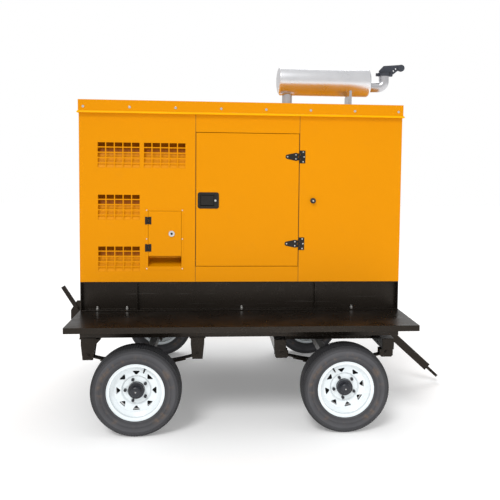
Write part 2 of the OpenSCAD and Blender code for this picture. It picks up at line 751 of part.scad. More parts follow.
module engine_block() color(c_engine) on_canopy() {
    half = block_w / 2;
    wall = 30;
    difference() {
        union() {
            block([block_x0, block_x1], [-half, half], [block_z0, block_z1]);
            block([block_x0 + 40, block_x1 - 30], [-half + 40, half - 40], [sump_z, block_z0 + 1]);
            // Ribs along the crankcase
            for (i = [0 : 5]) block([block_x0 + 50 + i * 88, block_x0 + 62 + i * 88], [-half - 8, half + 8],
                [block_z0 + 20, block_z1 - 40]);
            rod_x(block_x1 - 1, 0, fan_z, 48, 60);
            both_sides() for (x = [bearer_xs[2], bearer_xs[3]]) {
                block([x - 30, x + 30], [-foot_y - 40, -half + 1], [feet_z, feet_z + 14]);
                block([x - 30, x + 30], [-half - 14, -half + 1], [feet_z, block_z0 + 60]);
                for (s = [-1, 1]) block([x + s * 26 - 4, x + s * 26 + 4], [-foot_y - 30, -half],
                    [feet_z, feet_z + 80]);
            }
        }
        block([block_x0 + wall, block_x1 - wall], [-half + wall, half - wall], [block_z0 + wall, crank_z + 130]);
        rod_x(block_x0 - 1, 0, crank_z, 30 + pin_play, block_l + 2);
        rod_x(block_x1 - wall - 1, 0, fan_z, 12 + pin_play, wall + 62);
    }
}

module cylinder_head() color(c_engine) on_canopy() {
    half = block_w / 2;
    block([block_x0 + 4, block_x1 - 4], [-half + 10, half - 10], [block_z1, block_z1 + 95]);
    block([block_x0 + 24, block_x1 - 24], [-half + 60, half - 30], [block_z1 + 94, block_z1 + 160]);
    for (i = [0 : 3]) {
        x = block_x0 + 80 + i * 130;
        rod_z(x, -half + 36, block_z1 + 90, 12, 60);
        hex_z(x, 30, block_z1 + 160, 14, 14);
    }
    rod_z(block_x0 + 70, 20, block_z1 + 150, 28, 40);
}

module exhaust_manifold() color([0.35, 0.22, 0.17]) on_canopy() {
    half = block_w / 2;
    log_y = -half - 60;
    log_z = block_z1 + 50;
    for (i = [0 : 3]) block([block_x0 + 60 + i * 130, block_x0 + 120 + i * 130], [log_y, -half + 10],
        [log_z - 22, log_z + 22]);
    rod_x(block_x0 + 50, log_y, log_z, 34, 470);
    riser_z = log_z + 230;
    difference() {
        union() {
            rod_z(inlet_x, log_y, log_z, pipe_r - 4, riser_z - log_z);
            translate([inlet_x, log_y, riser_z]) sphere(r = pipe_r - 4);
            rod_y(inlet_x, log_y, riser_z, pipe_r - 4, -log_y);
            translate([inlet_x, 0, riser_z]) sphere(r = pipe_r - 4);
            rod_z(inlet_x, 0, riser_z, pipe_r - 4, roof_top - riser_z - 0.5);
            for (k = [0 : 7]) rod_z(inlet_x, 0, riser_z + 70 + k * 20, pipe_r + 4, 12);
        }
        rod_z(inlet_x, 0, riser_z, pipe_r - 8, roof_top - riser_z);
    }
}

module air_filter() color([0.2, 0.2, 0.21]) on_canopy() {
    y = block_w / 2 + 90;
    z = block_z1 + 70;
    rod_x(block_x0 + 40, y, z, 88, 330);
    rod_x(block_x0 + 26, y, z, 92, 26);
    rod_x(block_x0 + 360, y, z, 40, 60);
    block([block_x0 + 90, block_x0 + 130], [block_w / 2 - 10, y], [z - 8, z + 8]);
    block([block_x0 + 280, block_x0 + 320], [block_w / 2 - 10, y], [z - 8, z + 8]);
}

module generator_casing() color(c_engine) on_canopy() {
    difference() {
        union() {
            rod_x(casing_x1, 0, crank_z, generator_r + 26, bell_l);
            rod_x(casing_x0 + 60, 0, crank_z, generator_r, casing_l - 60);
            rod_x(casing_x0, 0, crank_z, generator_r - 14, 61);
            for (i = [0 : 8]) rod_x(casing_x0 + 100 + i * 42, 0, crank_z, generator_r + 8, 12);
            block([casing_x0 + 90, casing_x1 - 120], [-150, 150], [crank_z + 180, crank_z + 330]);
            both_sides() {
                block([casing_x0 + 50, casing_x0 + 110], [-foot_y - 40, -120], [feet_z, feet_z + 14]);
                block([casing_x0 + 50, casing_x0 + 110], [-190, -150], [feet_z, crank_z - 100]);
            }
        }
        rod_x(casing_x0 + 20, 0, crank_z, generator_r - 40, casing_l - 30);
        rod_x(casing_x1 + 10, 0, crank_z, generator_r - 20, bell_l - 9);
        rod_x(casing_x1 - 20, 0, crank_z, 60, 60);
    }
}

module crankshaft() color(c_silver) on_canopy() {
    rod_x(casing_x0 + 40, 0, crank_z, 30, block_x1 + 60 - casing_x0 - 40);
    rod_x(casing_x0 + 70, 0, crank_z, generator_r - 110, casing_l - 120);
    rod_x(casing_x1 + 30, 0, crank_z, generator_r - 40, 46);
    difference() {
        rod_x(block_x1 + 14, 0, crank_z, 90, 40);
        rod_x(block_x1 + 13, 0, crank_z, 66, 14);
    }
    rod_x(block_x1 + 1, 0, crank_z, 40, 14);
}

module fan() color(c_white) on_canopy() {
    rod_x(block_x1 - 28, 0, fan_z, 12, fan_x + fan_t / 2 - block_x1 + 28);
    rod_x(block_x1 + 62, 0, fan_z, 75, 30);
    rod_x(fan_x - fan_t / 2, 0, fan_z, 60, fan_t);
    for (i = [0 : fan_blades - 1]) translate([fan_x, 0, fan_z]) rotate([i * 360 / fan_blades, 0, 0])
        translate([0, 0, 50]) rotate([0, 0, 35]) translate([-2, -46, 0]) cube([4, 92, fan_r - 58]);
}

module radiator() color([0.1, 0.1, 0.11]) on_canopy() {
    half = radiator_w / 2;
    low = base_top + 40;
    core = radiator_x + 20;
    difference() {
        block([core, core + 70], [-half, half], [low, radiator_z1]);
        for (i = [0 : 17]) block([core - 1, core + 62], [-half + 24, half - 24],
            [low + 60 + i * 38, low + 86 + i * 38]);
    }
    rod_z(core + 35, 0, radiator_z1 - 1, 32, 26);
    both_sides() block([core, core + 70], [-half, -half + 60], [base_top, low + 1]);
    // Fan shroud
    difference() {
        block([fan_x - 10, core + 1], [-half, half], [low, radiator_z1]);
        block([fan_x - 6, core + 2], [-half + 4, half - 4], [low + 4, radiator_z1 - 4]);
        rod_x(fan_x - 11, 0, fan_z, fan_r + 15, 20);
    }
}

module battery() color(c_black) on_canopy() {
    x = bearer_xs[0];
    block([x - 175, x + 175], [190, 400], [base_top, base_top + 4]);
    block([x - 165, x + 165], [200, 375], [base_top + 3, base_top + 220]);
    for (s = [-1, 1]) rod_z(x + s * 120, 240, base_top + 219, 9, 18);
    block([x - 12, x + 12], [186, 389], [base_top + 219, base_top + 224]);
    for (y = [193, 382]) rod_z(x, y, base_top + 3, 4, 230);
}

module fuel_tank() color(c_black) on_canopy() {
    difference() {
        block([tank_x0, tank_x1], [-tank_y, tank_y], [deck_top + plate_t, tank_z1]);
        block([tank_x0 + 3, tank_x1 - 3], [-tank_y + 3, tank_y - 3], [deck_top + plate_t + 3, tank_z1 - 3]);
        rod_z(neck_x, neck_y, tank_z1 - 4, neck_r - 3, 10);
    }
    difference() {
        rod_z(neck_x, neck_y, tank_z1 - 1, neck_r, neck_top - tank_z1 + 1);
        rod_z(neck_x, neck_y, tank_z1 - 4, neck_r - 3, neck_top);
    }
}

module fuel_cap() color(c_black) on_canopy() {
    difference() {
        union() {
            rod_z(neck_x, neck_y, neck_top - 12, neck_r + 7, 24);
            block([neck_x - neck_r, neck_x + neck_r], [neck_y - 5, neck_y + 5], [neck_top + 11, neck_top + 24]);
        }
        rod_z(neck_x, neck_y, neck_top - 13, neck_r + pin_play, 13 + pin_play);
    }
}

module engine_mounts() color(c_rubber) on_canopy() both_sides()
    for (x = [casing_x0 + 80, bearer_xs[2], bearer_xs[3]]) {
        rod_z(x, -foot_y, base_top, 34, mount_h);
        hex_z(x, -foot_y, feet_z + 14, 14, 12);
    }

module control_box() color([0.8, 0.8, 0.8]) on_canopy() {
    d = 130;
    y = [-control_w / 2 - 20, control_w / 2 + 20];
    z = [control_z - 20, control_z + control_h + 20];
    x0 = rear_x + sheet_t;
    difference() {
        block([x0, x0 + d], y, z);
        block([x0 - 1, x0 + d - sheet_t], [y[0] + sheet_t, y[1] - sheet_t], [z[0] + sheet_t, z[1] - sheet_t]);
    }
    // Instrument plate with the controller, key switch and lamps
    block([x0 + 50, x0 + 54], [y[0] + 1, y[1] - 1], [z[0] + 1, z[1] - 1]);
    block([x0 + 36, x0 + 51], [-110, 110], [control_z + 190, control_z + 340]);
    rod_x(x0 + 30, -60, control_z + 100, 14, 22);
    for (yy = [0, 50, 100]) rod_x(x0 + 38, yy, control_z + 100, 11, 14);
}

module control_door() color(c_canopy) on_canopy() {
    g = door_gap;
    difference() {
        block([rear_x, rear_x + 18], [-control_w / 2 + g, control_w / 2 - g],
            [control_z + g, control_z + control_h - g]);
        block([rear_x + sheet_t, rear_x + 19], [-control_w / 2 + g + sheet_t, control_w / 2 - g - sheet_t],
            [control_z + g + sheet_t, control_z + control_h - g - sheet_t]);
    }
    for (z = [control_z + 60, control_z + control_h - 110]) {
        block([rear_x - 3, rear_x + 1], [control_w / 2 - 34, control_w / 2 - 6], [z + 26, z + 50]);
        difference() {
            union() {
                rod_z(rear_x - 7, control_w / 2 + 2, z + 26, term_knuckle_r, 24);
                block([rear_x - 7, rear_x - 3], [control_w / 2 - 10, control_w / 2 + 2], [z + 26, z + 50]);
            }
            rod_z(rear_x - 7, control_w / 2 + 2, z + 25, pin_r + pin_play, 26);
        }
    }
    translate([rear_x + 1, -control_w / 2 + 40, control_z + control_h / 2]) rotate([0, -90, 0])
        cylinder(r = 13, h = 7);
}

module stop_button() color("red") on_canopy() {
    rod_x(rear_x - 10, button_y, button_z, 10, 40);
    rod_x(rear_x - 30, button_y, button_z, 21, 20);
}

module brake_bracket() color(c_black) on_canopy() {
    plate_xz(-5, 10) polygon([[rear_x, rail_z + 10], [rear_x, rail_top - 12], [rear_x - 60, rail_top + 14],
        [lever_x - 4, rail_top + 14], [lever_x - 54, lever_z - 8], [lever_x - 54, rail_z + 8]]);
    rod_y(lever_x, -24, lever_z, 8, 48);
    for (y = [-32, 24]) translate([lever_x, y, lever_z]) rotate([-90, 0, 0]) cylinder(r = 13, h = 8, $fn = 6);
    // Stop pin behind the released lever
    rod_y(lever_x - 40, -20, lever_z + 4, 6, 40);
    block([rear_x - 8, rear_x], [-40, 40], [rail_z + 4, rail_top]);
}

module brake_lever() color(c_black) on_canopy() translate([lever_x, 0, lever_z])
    rotate([0, lever_rise - 180, 0]) difference() {
        union() {
            for (y = [-lever_gap / 2 - 6, lever_gap / 2])
                translate([-24, y, -lever_w / 2]) cube([16 + lever_l, 6, lever_w]);
            translate([lever_l - 70, -lever_gap / 2 - 1, -lever_w / 2]) cube([62, lever_gap + 2, lever_w]);
        }
        rod_y(0, -lever_gap, 0, 8 + pin_play, 2 * lever_gap);
    }

// The door's tray with the latch's opening, on the near side
module door() difference() {
    tray([bay_x0 + door_gap, bay_x1 - door_gap], [door_z0, door_z1], fold_d);
    block([latch_x - latch_w / 2 + 14, latch_x + latch_w / 2 - 14], [face_y - 1, face_y + sheet_t + 1],
        [latch_z - latch_h / 2 + 14, latch_z + latch_h / 2 - 14]);
}

// The two straps and the latch's housing on the door
module door_fittings() {
    for (z = hinge_zs) difference() {
        union() {
            plate_xz(face_y - strap_t, strap_t) polygon([[hinge_x - 3, z - 24], [hinge_x - 3, z + 24],
                [hinge_x - 24, z + strap_h / 2], [hinge_x - strap_l + 6, z + strap_h / 4],
                [hinge_x - strap_l - 2, z + strap_h / 8], [hinge_x - strap_l - 2, z - strap_h / 8],
                [hinge_x - strap_l + 6, z - strap_h / 4], [hinge_x - 24, z - strap_h / 2]]);
            for (spot = [[26, strap_h / 4], [26, -strap_h / 4], [strap_l - 12, 0]])
                translate([hinge_x - spot[0], face_y - strap_t, z + spot[1]]) rotate([90, 0, 0])
                    cylinder(r = screw_r, h = 2);
            for (k = [-1, 1]) {
                translate([hinge_x, hinge_y, z + k * 16 - 8]) cylinder(r = knuckle_r, h = 16);
                block([hinge_x - knuckle_r + 1, hinge_x], [hinge_y + 1, face_y - 1], [z + k * 16 - 8, z + k * 16 + 8]);
            }
        }
        rod_z(hinge_x, hinge_y, z - 25, pin_r + pin_play, 50);
        block([hinge_x - knuckle_r - 2, hinge_x + knuckle_r + 1], [hinge_y - knuckle_r - 1, face_y + 1],
            [z - 7.5, z + 7.5]);
    }
    in_w = latch_w / 2 - 16;
    in_h = latch_h / 2 - 16;
    difference() {
        union() {
            plate_xz(face_y - latch_rim, latch_rim) translate([latch_x, latch_z]) polygon([for (q = [0 : 3])
                let (w = (q == 0 || q == 3 ? 1 : -1) * latch_w / 2, h = (q < 2 ? 1 : -1) * latch_h / 2)
                for (k = q % 2 == 0 ? [0 : 2] : [2 : -1 : 0])
                    [w - sign(w) * latch_corner * [0, 0.3, 1][k], h - sign(h) * latch_corner * [1, 0.3, 0][k]]]);
            block([latch_x - in_w, latch_x + in_w], [face_y - 1, face_y + latch_d],
                [latch_z - in_h, latch_z + in_h]);
        }
        block([latch_x - in_w + 3, latch_x + 42], [face_y - latch_rim - 1, face_y + latch_d - 3],
            [latch_z - in_h + 3, latch_z + in_h - 3]);
        rod_x(latch_x - in_w - 1, paddle_y, paddle_z, pin_r + pin_play, in_w + 47);
    }
    // Key cylinder beside the paddle
    translate([latch_x + 52, face_y - latch_rim, latch_z]) rotate([90, 0, 0]) cylinder(r = 8, h = 4);
}

paddle_z = latch_z + latch_h / 2 - 26;
paddle_y = face_y + 5;
module latch_paddle() {
    x0 = latch_x - latch_w / 2 + 22;
    block([x0, latch_x + 39], [face_y - 2, face_y + 3], [paddle_z - 68, paddle_z - 4]);
    rod_x(x0, paddle_y, paddle_z, 5, latch_x + 39 - x0);
    rod_x(latch_x - latch_w / 2 + 16.5, paddle_y, paddle_z, pin_r, latch_w / 2 + 28.5);
    block([x0, latch_x + 39], [face_y - 2, face_y + 3], [paddle_z - 6, paddle_z]);
}

module door_near() color(c_canopy) on_canopy() door();
module door_far() color(c_canopy) on_canopy() mirror([0, 1, 0]) door();
module door_fittings_near() color(c_black) on_canopy() door_fittings();
module door_fittings_far() color(c_black) on_canopy() mirror([0, 1, 0]) door_fittings();
module latch_paddle_near() color(c_black) on_canopy() latch_paddle();
module latch_paddle_far() color(c_black) on_canopy() mirror([0, 1, 0]) latch_paddle();

module terminal_door() color(c_canopy) on_canopy() {
    y0 = face_y - sheet_t;
    difference() {
        block([term_door_x0, term_door_x0 + term_door_w], [y0, y0 + 14], [term_door_z0, term_door_z1]);
        block([term_door_x0 + sheet_t, term_door_x0 + term_door_w - sheet_t], [y0 + sheet_t, y0 + 15],
            [term_door_z0 + sheet_t, term_door_z1 - sheet_t]);
        rod_y(term_lock_x, y0 - 1, term_lock_z, lock_r + pin_play, 6);
    }
    for (z = [term_door_z0 + 60, term_door_z1 - 70]) difference() {
        union() {
            block([term_hinge_x + 6, term_hinge_x + 24], [y0 - 3, y0 + 0.5], [z - 28, z + 28]);
            for (k = [-1, 1]) {
                rod_z(term_hinge_x, term_hinge_y, z + k * 17 - 8, term_knuckle_r, 16);
                block([term_hinge_x, term_hinge_x + 8], [term_hinge_y, y0 - 1], [z + k * 17 - 8, z + k * 17 + 8]);
            }
        }
        rod_z(term_hinge_x, term_hinge_y, z - 29, pin_r + pin_play, 58);
    }
}

module terminal_lock() color(c_chrome) on_canopy() {
    y0 = face_y - sheet_t;
    rod_y(term_lock_x, y0 - 7, term_lock_z, lock_r, 26);
    rod_y(term_lock_x, y0 - 7, term_lock_z, lock_r + 12, 6.5);
    block([term_lock_x - 8, term_lock_x + 54], [y0 + 15, y0 + 18], [term_lock_z - 8, term_lock_z + 8]);
}

module bogie_frame() color(c_black) on_canopy() {
    beam_rear_x = front_axle_x - spring_half - 12;
    low = ring_z - beam_h;
    beam_y = spring_y + 40;
    for (x = [beam_rear_x, beam_front_x])
        tube_y([x - beam_w / 2, x + beam_w / 2], [-beam_y, beam_y], [low, ring_z], rail_t);
    both_sides() difference() {
        block([beam_rear_x + beam_w / 2 - 1, beam_front_x - beam_w / 2 + 1], [-275, -205], [low, ring_z]);
        block([beam_rear_x, beam_front_x], [-275 + rail_t, -205 - rail_t], [low + rail_t, ring_z - rail_t]);
    }
    difference() {
        rod_z(front_axle_x, 0, ring_z - 1, ring_r, ring_h + 1);
        rod_z(front_axle_x, 0, ring_z - 2, ring_r - 70, ring_h + 4);
    }
    both_sides() translate([0, -spring_y, 0]) for (s = [-1, 1])
        spring_hanger(front_axle_x + s * spring_half, low + 1, 0);
    // Fork that holds the drawbar's pivot bolt, with the stop under the drawbar
    for (y = [-drawbar_s / 2 - 12.5, drawbar_s / 2 + 0.5]) difference() {
        plate_xz(y, 12) polygon([[beam_front_x + beam_w / 2 - 1, ring_z - 2], [pivot_x + 20, ring_z - 8],
            [pivot_x + 32, pivot_z], [pivot_x + 10, pivot_z - 36], [beam_front_x + beam_w / 2 - 1, low + 2]]);
    }
    rod_y(pivot_x, -drawbar_s / 2 - 24, pivot_z, 12, drawbar_s + 48);
    for (y = [-drawbar_s / 2 - 26, drawbar_s / 2 + 13]) translate([pivot_x, y, pivot_z]) rotate([-90, 0, 0])
        cylinder(r = 19, h = 13, $fn = 6);
}

module front_springs() color(c_black) on_canopy() both_sides() translate([0, -spring_y, 0]) {
    leaf_spring(front_axle_x);
    spring_clamp(front_axle_x);
}

module front_axle() color(c_black) on_canopy() axle(front_axle_x);

module drawbar() color(c_black) on_canopy() translate([pivot_x, 0, pivot_z]) rotate([0, drawbar_drop, 0]) {
    half = drawbar_s / 2;
    tube_end = drawbar_l - eye_r + 2;
    difference() {
        union() {
            translate([0, -half, -half]) cube([tube_end - 40, drawbar_s, drawbar_s]);
            rod_y(0, -half, 0, half, drawbar_s);
        }
        translate([half + 10, -half + 5, -half + 5]) cube([tube_end, drawbar_s - 10, drawbar_s - 10]);
        rod_y(0, -half - 1, 0, 12 + pin_play, drawbar_s + 2);
    }
    difference() {
        union() {
            translate([tube_end - 60, -half + 6, -eye_t / 2]) cube([60, drawbar_s - 12, eye_t]);
            translate([drawbar_l, 0, -eye_t / 2]) cylinder(r = eye_r, h = eye_t);
            translate([tube_end - 44, -half, -half]) cube([6, drawbar_s, drawbar_s]);
        }
        translate([drawbar_l, 0, -eye_t]) cylinder(r = eye_hole_r, h = 2 * eye_t);
    }
}

// Outline of the tyre's section: radius against distance from the wheel's middle plane
bead_r = rim_r - 17;
wall_r = rim_r + 1.5;
wall_t = 10;
shoulder_r = tyre_r - 12;
bead_half = rim_w / 2 - 0.3;
tread_half = tyre_w / 2 - 14;
bulge = tyre_w / 2 - (bead_half + tread_half) / 2;
steps = 7;
function wall(u, inset) = [wall_r + u * (shoulder_r - inset - wall_r),
    bead_half + u * (tread_half - bead_half) + bulge * sin(180 * pow(u, 0.8)) - inset];
function crown(w) = tyre_r - 5 * pow(w / tread_half, 2);
groove_ws = [-44, 0, 44];
groove_w = 8;
groove_d = 7;
tread_points = concat([[crown(-tread_half + 6) - 2, -tread_half]],
    [for (g = groove_ws) each [[crown(g - groove_w / 2), g - groove_w / 2],
        [crown(g) - groove_d, g - groove_w / 2], [crown(g) - groove_d, g + groove_w / 2],
        [crown(g + groove_w / 2), g + groove_w / 2]]], [[crown(tread_half - 6) - 2, tread_half]]);
tyre_outline = concat([[bead_r, -bead_half]], [for (i = [0 : steps]) let (p = wall(i / steps, 0)) [p[0], -p[1]]],
    tread_points, [for (i = [steps : -1 : 0]) wall(i / steps, 0)],
    [[bead_r, bead_half], [bead_r, bead_half - wall_t]], [for (i = [0 : steps]) wall(i / steps, wall_t)],
    [for (i = [steps : -1 : 0]) let (p = wall(i / steps, wall_t)) [p[0], -p[1]]],
    [[bead_r, wall_t - bead_half]]);

module tyre() rotate_extrude($fn = 96) polygon(tyre_outline);

module rim() {
    half = rim_w / 2;
    seat_r = bead_r - 0.3;
    well_r = seat_r - 26;
    t = 3;
    disc_r = well_r + 1;
    nave_r = stud_ring_r + 18;
    rotate_extrude($fn = 96) polygon([[rim_r, half + 10], [rim_r - 4, half + 10], [rim_r - 4, half + t],
        [seat_r - t, half + t - 1], [seat_r - t, half - 26], [well_r - t, half - 42], [well_r - t, -half + 42],
        [seat_r - t, -half + 26], [seat_r - t, -half - t + 1], [rim_r - 4, -half - t],
        [rim_r - 4, -half - 10], [rim_r, -half - 10], [rim_r, -half], [seat_r, -half], [seat_r, -half + 27],
        [well_r, -half + 44], [well_r, half - 44], [seat_r, half - 27], [seat_r, half], [rim_r, half]]);
    difference() {
        rotate_extrude($fn = 96) polygon([[hub_r + 1, 0], [nave_r, 0], [nave_r + 12, 12], [disc_r - 12, 20],
            [disc_r, 20], [disc_r, 20 + disc_t], [disc_r - 14, 20 + disc_t], [nave_r + 10, 12 + disc_t],
            [nave_r - 2, disc_t], [hub_r + 1, disc_t]]);
        for (i = [0 : window_count - 1]) rotate([0, 0, i * 360 / window_count])
            translate([0, 0, -1]) linear_extrude(60) polygon([[disc_r - 17, -20], [disc_r - 17, 20],
                [disc_r - 22, 24], [disc_r - 45, 4], [disc_r - 45, -4], [disc_r - 22, -24]]);
        for (i = [0 : stud_count - 1]) rotate([0, 0, (i + 0.5) * 360 / stud_count])
            translate([stud_ring_r, 0, -1]) cylinder(r = 7.5, h = disc_t + 2);
    }
}

// A hub turning on its spindle: flange behind the disc, barrel, grease cap, studs and nuts
module hub() {
    difference() {
        union() {
            translate([0, 0, -12]) cylinder(r = stud_ring_r + 18, h = 11.7);
            translate([0, 0, -90]) cylinder(r = hub_r - 4, h = 90);
            cylinder(r = hub_r, h = 36);
            translate([0, 0, 36]) cylinder(r = hub_r - 8, h = 6);
            translate([0, 0, 42]) cylinder(r = 36, h = 22);
            translate([0, 0, 64]) cylinder(r = 30, h = 4);
            for (i = [0 : stud_count - 1]) rotate([0, 0, (i + 0.5) * 360 / stud_count])
                translate([stud_ring_r, 0, 0]) {
                    translate([0, 0, -2]) cylinder(r = 6, h = 34);
                    translate([0, 0, disc_t + 0.3]) cylinder(r = 11, h = 20, $fn = 6);
                }
        }
        translate([0, 0, -91]) cylinder(r = spindle_r + pin_play, h = 91 + 46);
    }
}

// A wheel's place: its middle plane at the end of an axle, its outer face away from the vehicle
module at_wheel(x, side) on_canopy() translate([x, side * wheel_y, tyre_r]) rotate([-side * 90, 0, 0])
    rotate([0, 0, x == front_axle_x ? front_wheel_turn : 0]) children();

module tyre_rear_near() color(c_rubber) at_wheel(rear_axle_x, -1) tyre();
module rim_rear_near() color(c_white) at_wheel(rear_axle_x, -1) rim();
module hub_rear_near() color(c_black) at_wheel(rear_axle_x, -1) hub();
module tyre_rear_far() color(c_rubber) at_wheel(rear_axle_x, 1) tyre();
module rim_rear_far() color(c_white) at_wheel(rear_axle_x, 1) rim();
module hub_rear_far() color(c_black) at_wheel(rear_axle_x, 1) hub();
module tyre_front_near() color(c_rubber) at_wheel(front_axle_x, -1) tyre();
module rim_front_near() color(c_white) at_wheel(front_axle_x, -1) rim();
module hub_front_near() color(c_black) at_wheel(front_axle_x, -1) hub();
module tyre_front_far() color(c_rubber) at_wheel(front_axle_x, 1) tyre();
module rim_front_far() color(c_white) at_wheel(front_axle_x, 1) rim();
module hub_front_far() color(c_black) at_wheel(front_axle_x, 1) hub();

chassis_frame();
deck();
rear_spring_hangers();
rear_springs();
rear_axle();
base_frame();
frame_bolts();
generator_side_panels();
radiator_side_panels();
door_surrounds();
control_end_panel();
radiator_end_panel();
roof();
hinge_leaves();
door_stops();
terminal_box();
silencer();
rain_cap_clamp();
engine_block();
cylinder_head();
exhaust_manifold();
air_filter();
generator_casing();
radiator();
battery();
fuel_tank();
engine_mounts();
control_box();
brake_bracket();
door_near();
door_far();
door_fittings_near();
door_fittings_far();
latch_paddle_near();
latch_paddle_far();
terminal_door();
terminal_lock();
control_door();
stop_button();
fuel_cap();
rain_cap_flap();
fan();
crankshaft();
bogie_frame();
front_springs();
front_axle();
drawbar();
brake_lever();
tyre_rear_near();
rim_rear_near();
hub_rear_near();
tyre_rear_far();
rim_rear_far();
hub_rear_far();
tyre_front_near();
rim_front_near();
hub_front_near();
tyre_front_far();
rim_front_far();
hub_front_far();
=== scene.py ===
import json
import math

import bmesh
import bpy
from mathutils import Matrix, Vector


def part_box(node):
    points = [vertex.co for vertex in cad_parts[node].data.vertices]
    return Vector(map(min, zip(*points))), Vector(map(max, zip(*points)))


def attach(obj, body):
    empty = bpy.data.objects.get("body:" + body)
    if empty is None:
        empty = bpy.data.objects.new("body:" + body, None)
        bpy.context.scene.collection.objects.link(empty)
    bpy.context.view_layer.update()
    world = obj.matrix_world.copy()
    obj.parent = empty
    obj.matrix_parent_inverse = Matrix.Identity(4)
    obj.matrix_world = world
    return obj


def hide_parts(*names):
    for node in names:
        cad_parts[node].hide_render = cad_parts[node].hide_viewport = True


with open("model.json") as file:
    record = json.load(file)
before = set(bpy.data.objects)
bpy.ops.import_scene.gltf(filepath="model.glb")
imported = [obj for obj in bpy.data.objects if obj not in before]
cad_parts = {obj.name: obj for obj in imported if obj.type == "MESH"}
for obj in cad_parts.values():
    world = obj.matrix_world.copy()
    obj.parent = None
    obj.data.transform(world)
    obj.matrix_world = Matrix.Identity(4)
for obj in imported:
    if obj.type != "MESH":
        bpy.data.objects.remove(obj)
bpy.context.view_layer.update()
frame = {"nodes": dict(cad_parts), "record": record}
nodes = frame["nodes"]
body_of = {n: body for body, group in frame["record"]["behaviour"]["bodies"].items() for n in group}


# ---- Canopy panels ----
# The canopy is folded from 2 mm zinc-coated sheet and powder-coated orange. Each panel is a tray
# with its edges turned inwards, so every outer corner carries the small radius of the brake press.

class Wire:
    """A node's output that can be used in a Python sum, which adds the Math node for it."""

    def __init__(self, tree, socket):
        self.tree = tree
        self.socket = socket

    def sum(self, operation, first, second):
        node = self.tree.nodes.new("ShaderNodeMath")
        node.operation = operation
        for place, value in zip(node.inputs, (first, second)):
            if isinstance(value, Wire):
                self.tree.links.new(value.socket, place)
            else:
                place.default_value = value
        return Wire(self.tree, node.outputs[0])

    def __add__(self, other):
        return self.sum("ADD", self, other)

    def __sub__(self, other):
        return self.sum("SUBTRACT", self, other)

    def __rsub__(self, other):
        return self.sum("SUBTRACT", other, self)

    def __mul__(self, other):
        return self.sum("MULTIPLY", self, other)

    __radd__ = __add__
    __rmul__ = __mul__


class Finish:
    """A material for one slot of the record, with its nodes added by one method."""

    def __init__(self, name, slot):
        self.slot = slot
        self.material = bpy.data.materials.new(name)
        self.material.use_nodes = True
        self.tree = self.material.node_tree
        self.shader = self.tree.nodes["Principled BSDF"]
        self.place = self.add("ShaderNodeTexCoord", out="Object")

    def feed(self, socket, value):
        if isinstance(value, Wire):
            self.tree.links.new(value.socket, socket)
        elif hasattr(socket.default_value, "__len__") and len(value) < len(socket.default_value):
            socket.default_value = (*value, 1.0)
        else:
            socket.default_value = value

    def add(self, kind, settings=None, sockets=None, out=0):
        node = self.tree.nodes.new(kind)
        for key, value in (settings or {}).items():
            if key == "stops":
                while len(node.color_ramp.elements) < len(value):
                    node.color_ramp.elements.new(0.5)
                for element, (at, shade) in zip(node.color_ramp.elements, value):
                    element.position = at
                    element.color = (shade, shade, shade, 1)
            else:
                setattr(node, key, value)
        for key, value in (sockets or {}).items():
            self.feed(node.inputs[key], value)
        return Wire(self.tree, node.outputs[out])

    def stretched(self, scale):
        return self.add("ShaderNodeMapping", None, {"Vector": self.place, "Scale": scale})

    def noise(self, scale, detail=3.0, roughness=0.5, place=None):
        return self.add("ShaderNodeTexNoise", None, {
            "Vector": place or self.place, "Scale": scale, "Detail": detail, "Roughness": roughness})

    def ramp(self, amount, low, high):
        return self.add("ShaderNodeValToRGB", {"stops": ((low, 0.0), (high, 1.0))}, {"Fac": amount})

    def mix(self, amount, first, second):
        return self.add("ShaderNodeMix", {"data_type": "RGBA"}, {0: amount, 6: first, 7: second}, out=2)

    def bump(self, height, depth, under=None):
        sockets = {"Height": height, "Distance": depth, "Strength": 1.0}
        if under:
            sockets["Normal"] = under
        return self.add("ShaderNodeBump", None, sockets)

    def upward(self):
        normal = self.add("ShaderNodeNewGeometry", out="Normal")
        return self.add("ShaderNodeSeparateXYZ", None, {"Vector": normal}, out="Z")

    def set(self, **values):
        for key, value in values.items():
            self.feed(self.shader.inputs[key.replace("_", " ")], value)


def powder_coat(name="canopy_powder_coat"):
    coat = Finish(name, "canopy_paint")
    clouds = coat.noise(1.7, 4.0)
    grime = coat.ramp(coat.noise(7.0, 8.0, 0.7), 0.56, 0.82) * 0.09
    shade = coat.mix(clouds, (0.645, 0.236, 0.0001), (0.69, 0.254, 0.0002))
    coat.shade = coat.mix(grime, shade, (0.40, 0.17, 0.03))
    coat.set(Base_Color=coat.shade, Specular_IOR_Level=0.08)
    coat.set(Roughness=coat.noise(38.0, 2.0) * 0.12 + 0.30)
    coat.set(Normal=coat.bump(coat.noise(520.0, 2.0), 0.00005))
    return coat


def painted_shade_coat(dark, lit):
    """The same coat on the baffles with painted shade: dark up to one distance from the middle and lit beyond
    another.
    """
    coat = powder_coat("baffle_painted_shade_coat")
    across = coat.add("ShaderNodeSeparateXYZ", None, {"Vector": coat.place}, out="Y")
    light = coat.ramp(across * across, dark ** 2, lit ** 2)
    # Painted shade: the deep part of each baffle is painted dark brown, as if the panel shaded it.
    coat.set(Base_Color=coat.mix(light, (0.29, 0.075, 0.0004), coat.shade))
    return coat


def wears(obj, finish):
    obj.data.materials.clear()
    obj.data.materials.append(finish.material)


crease_angle = 32.0
merge_gap = 1e-6


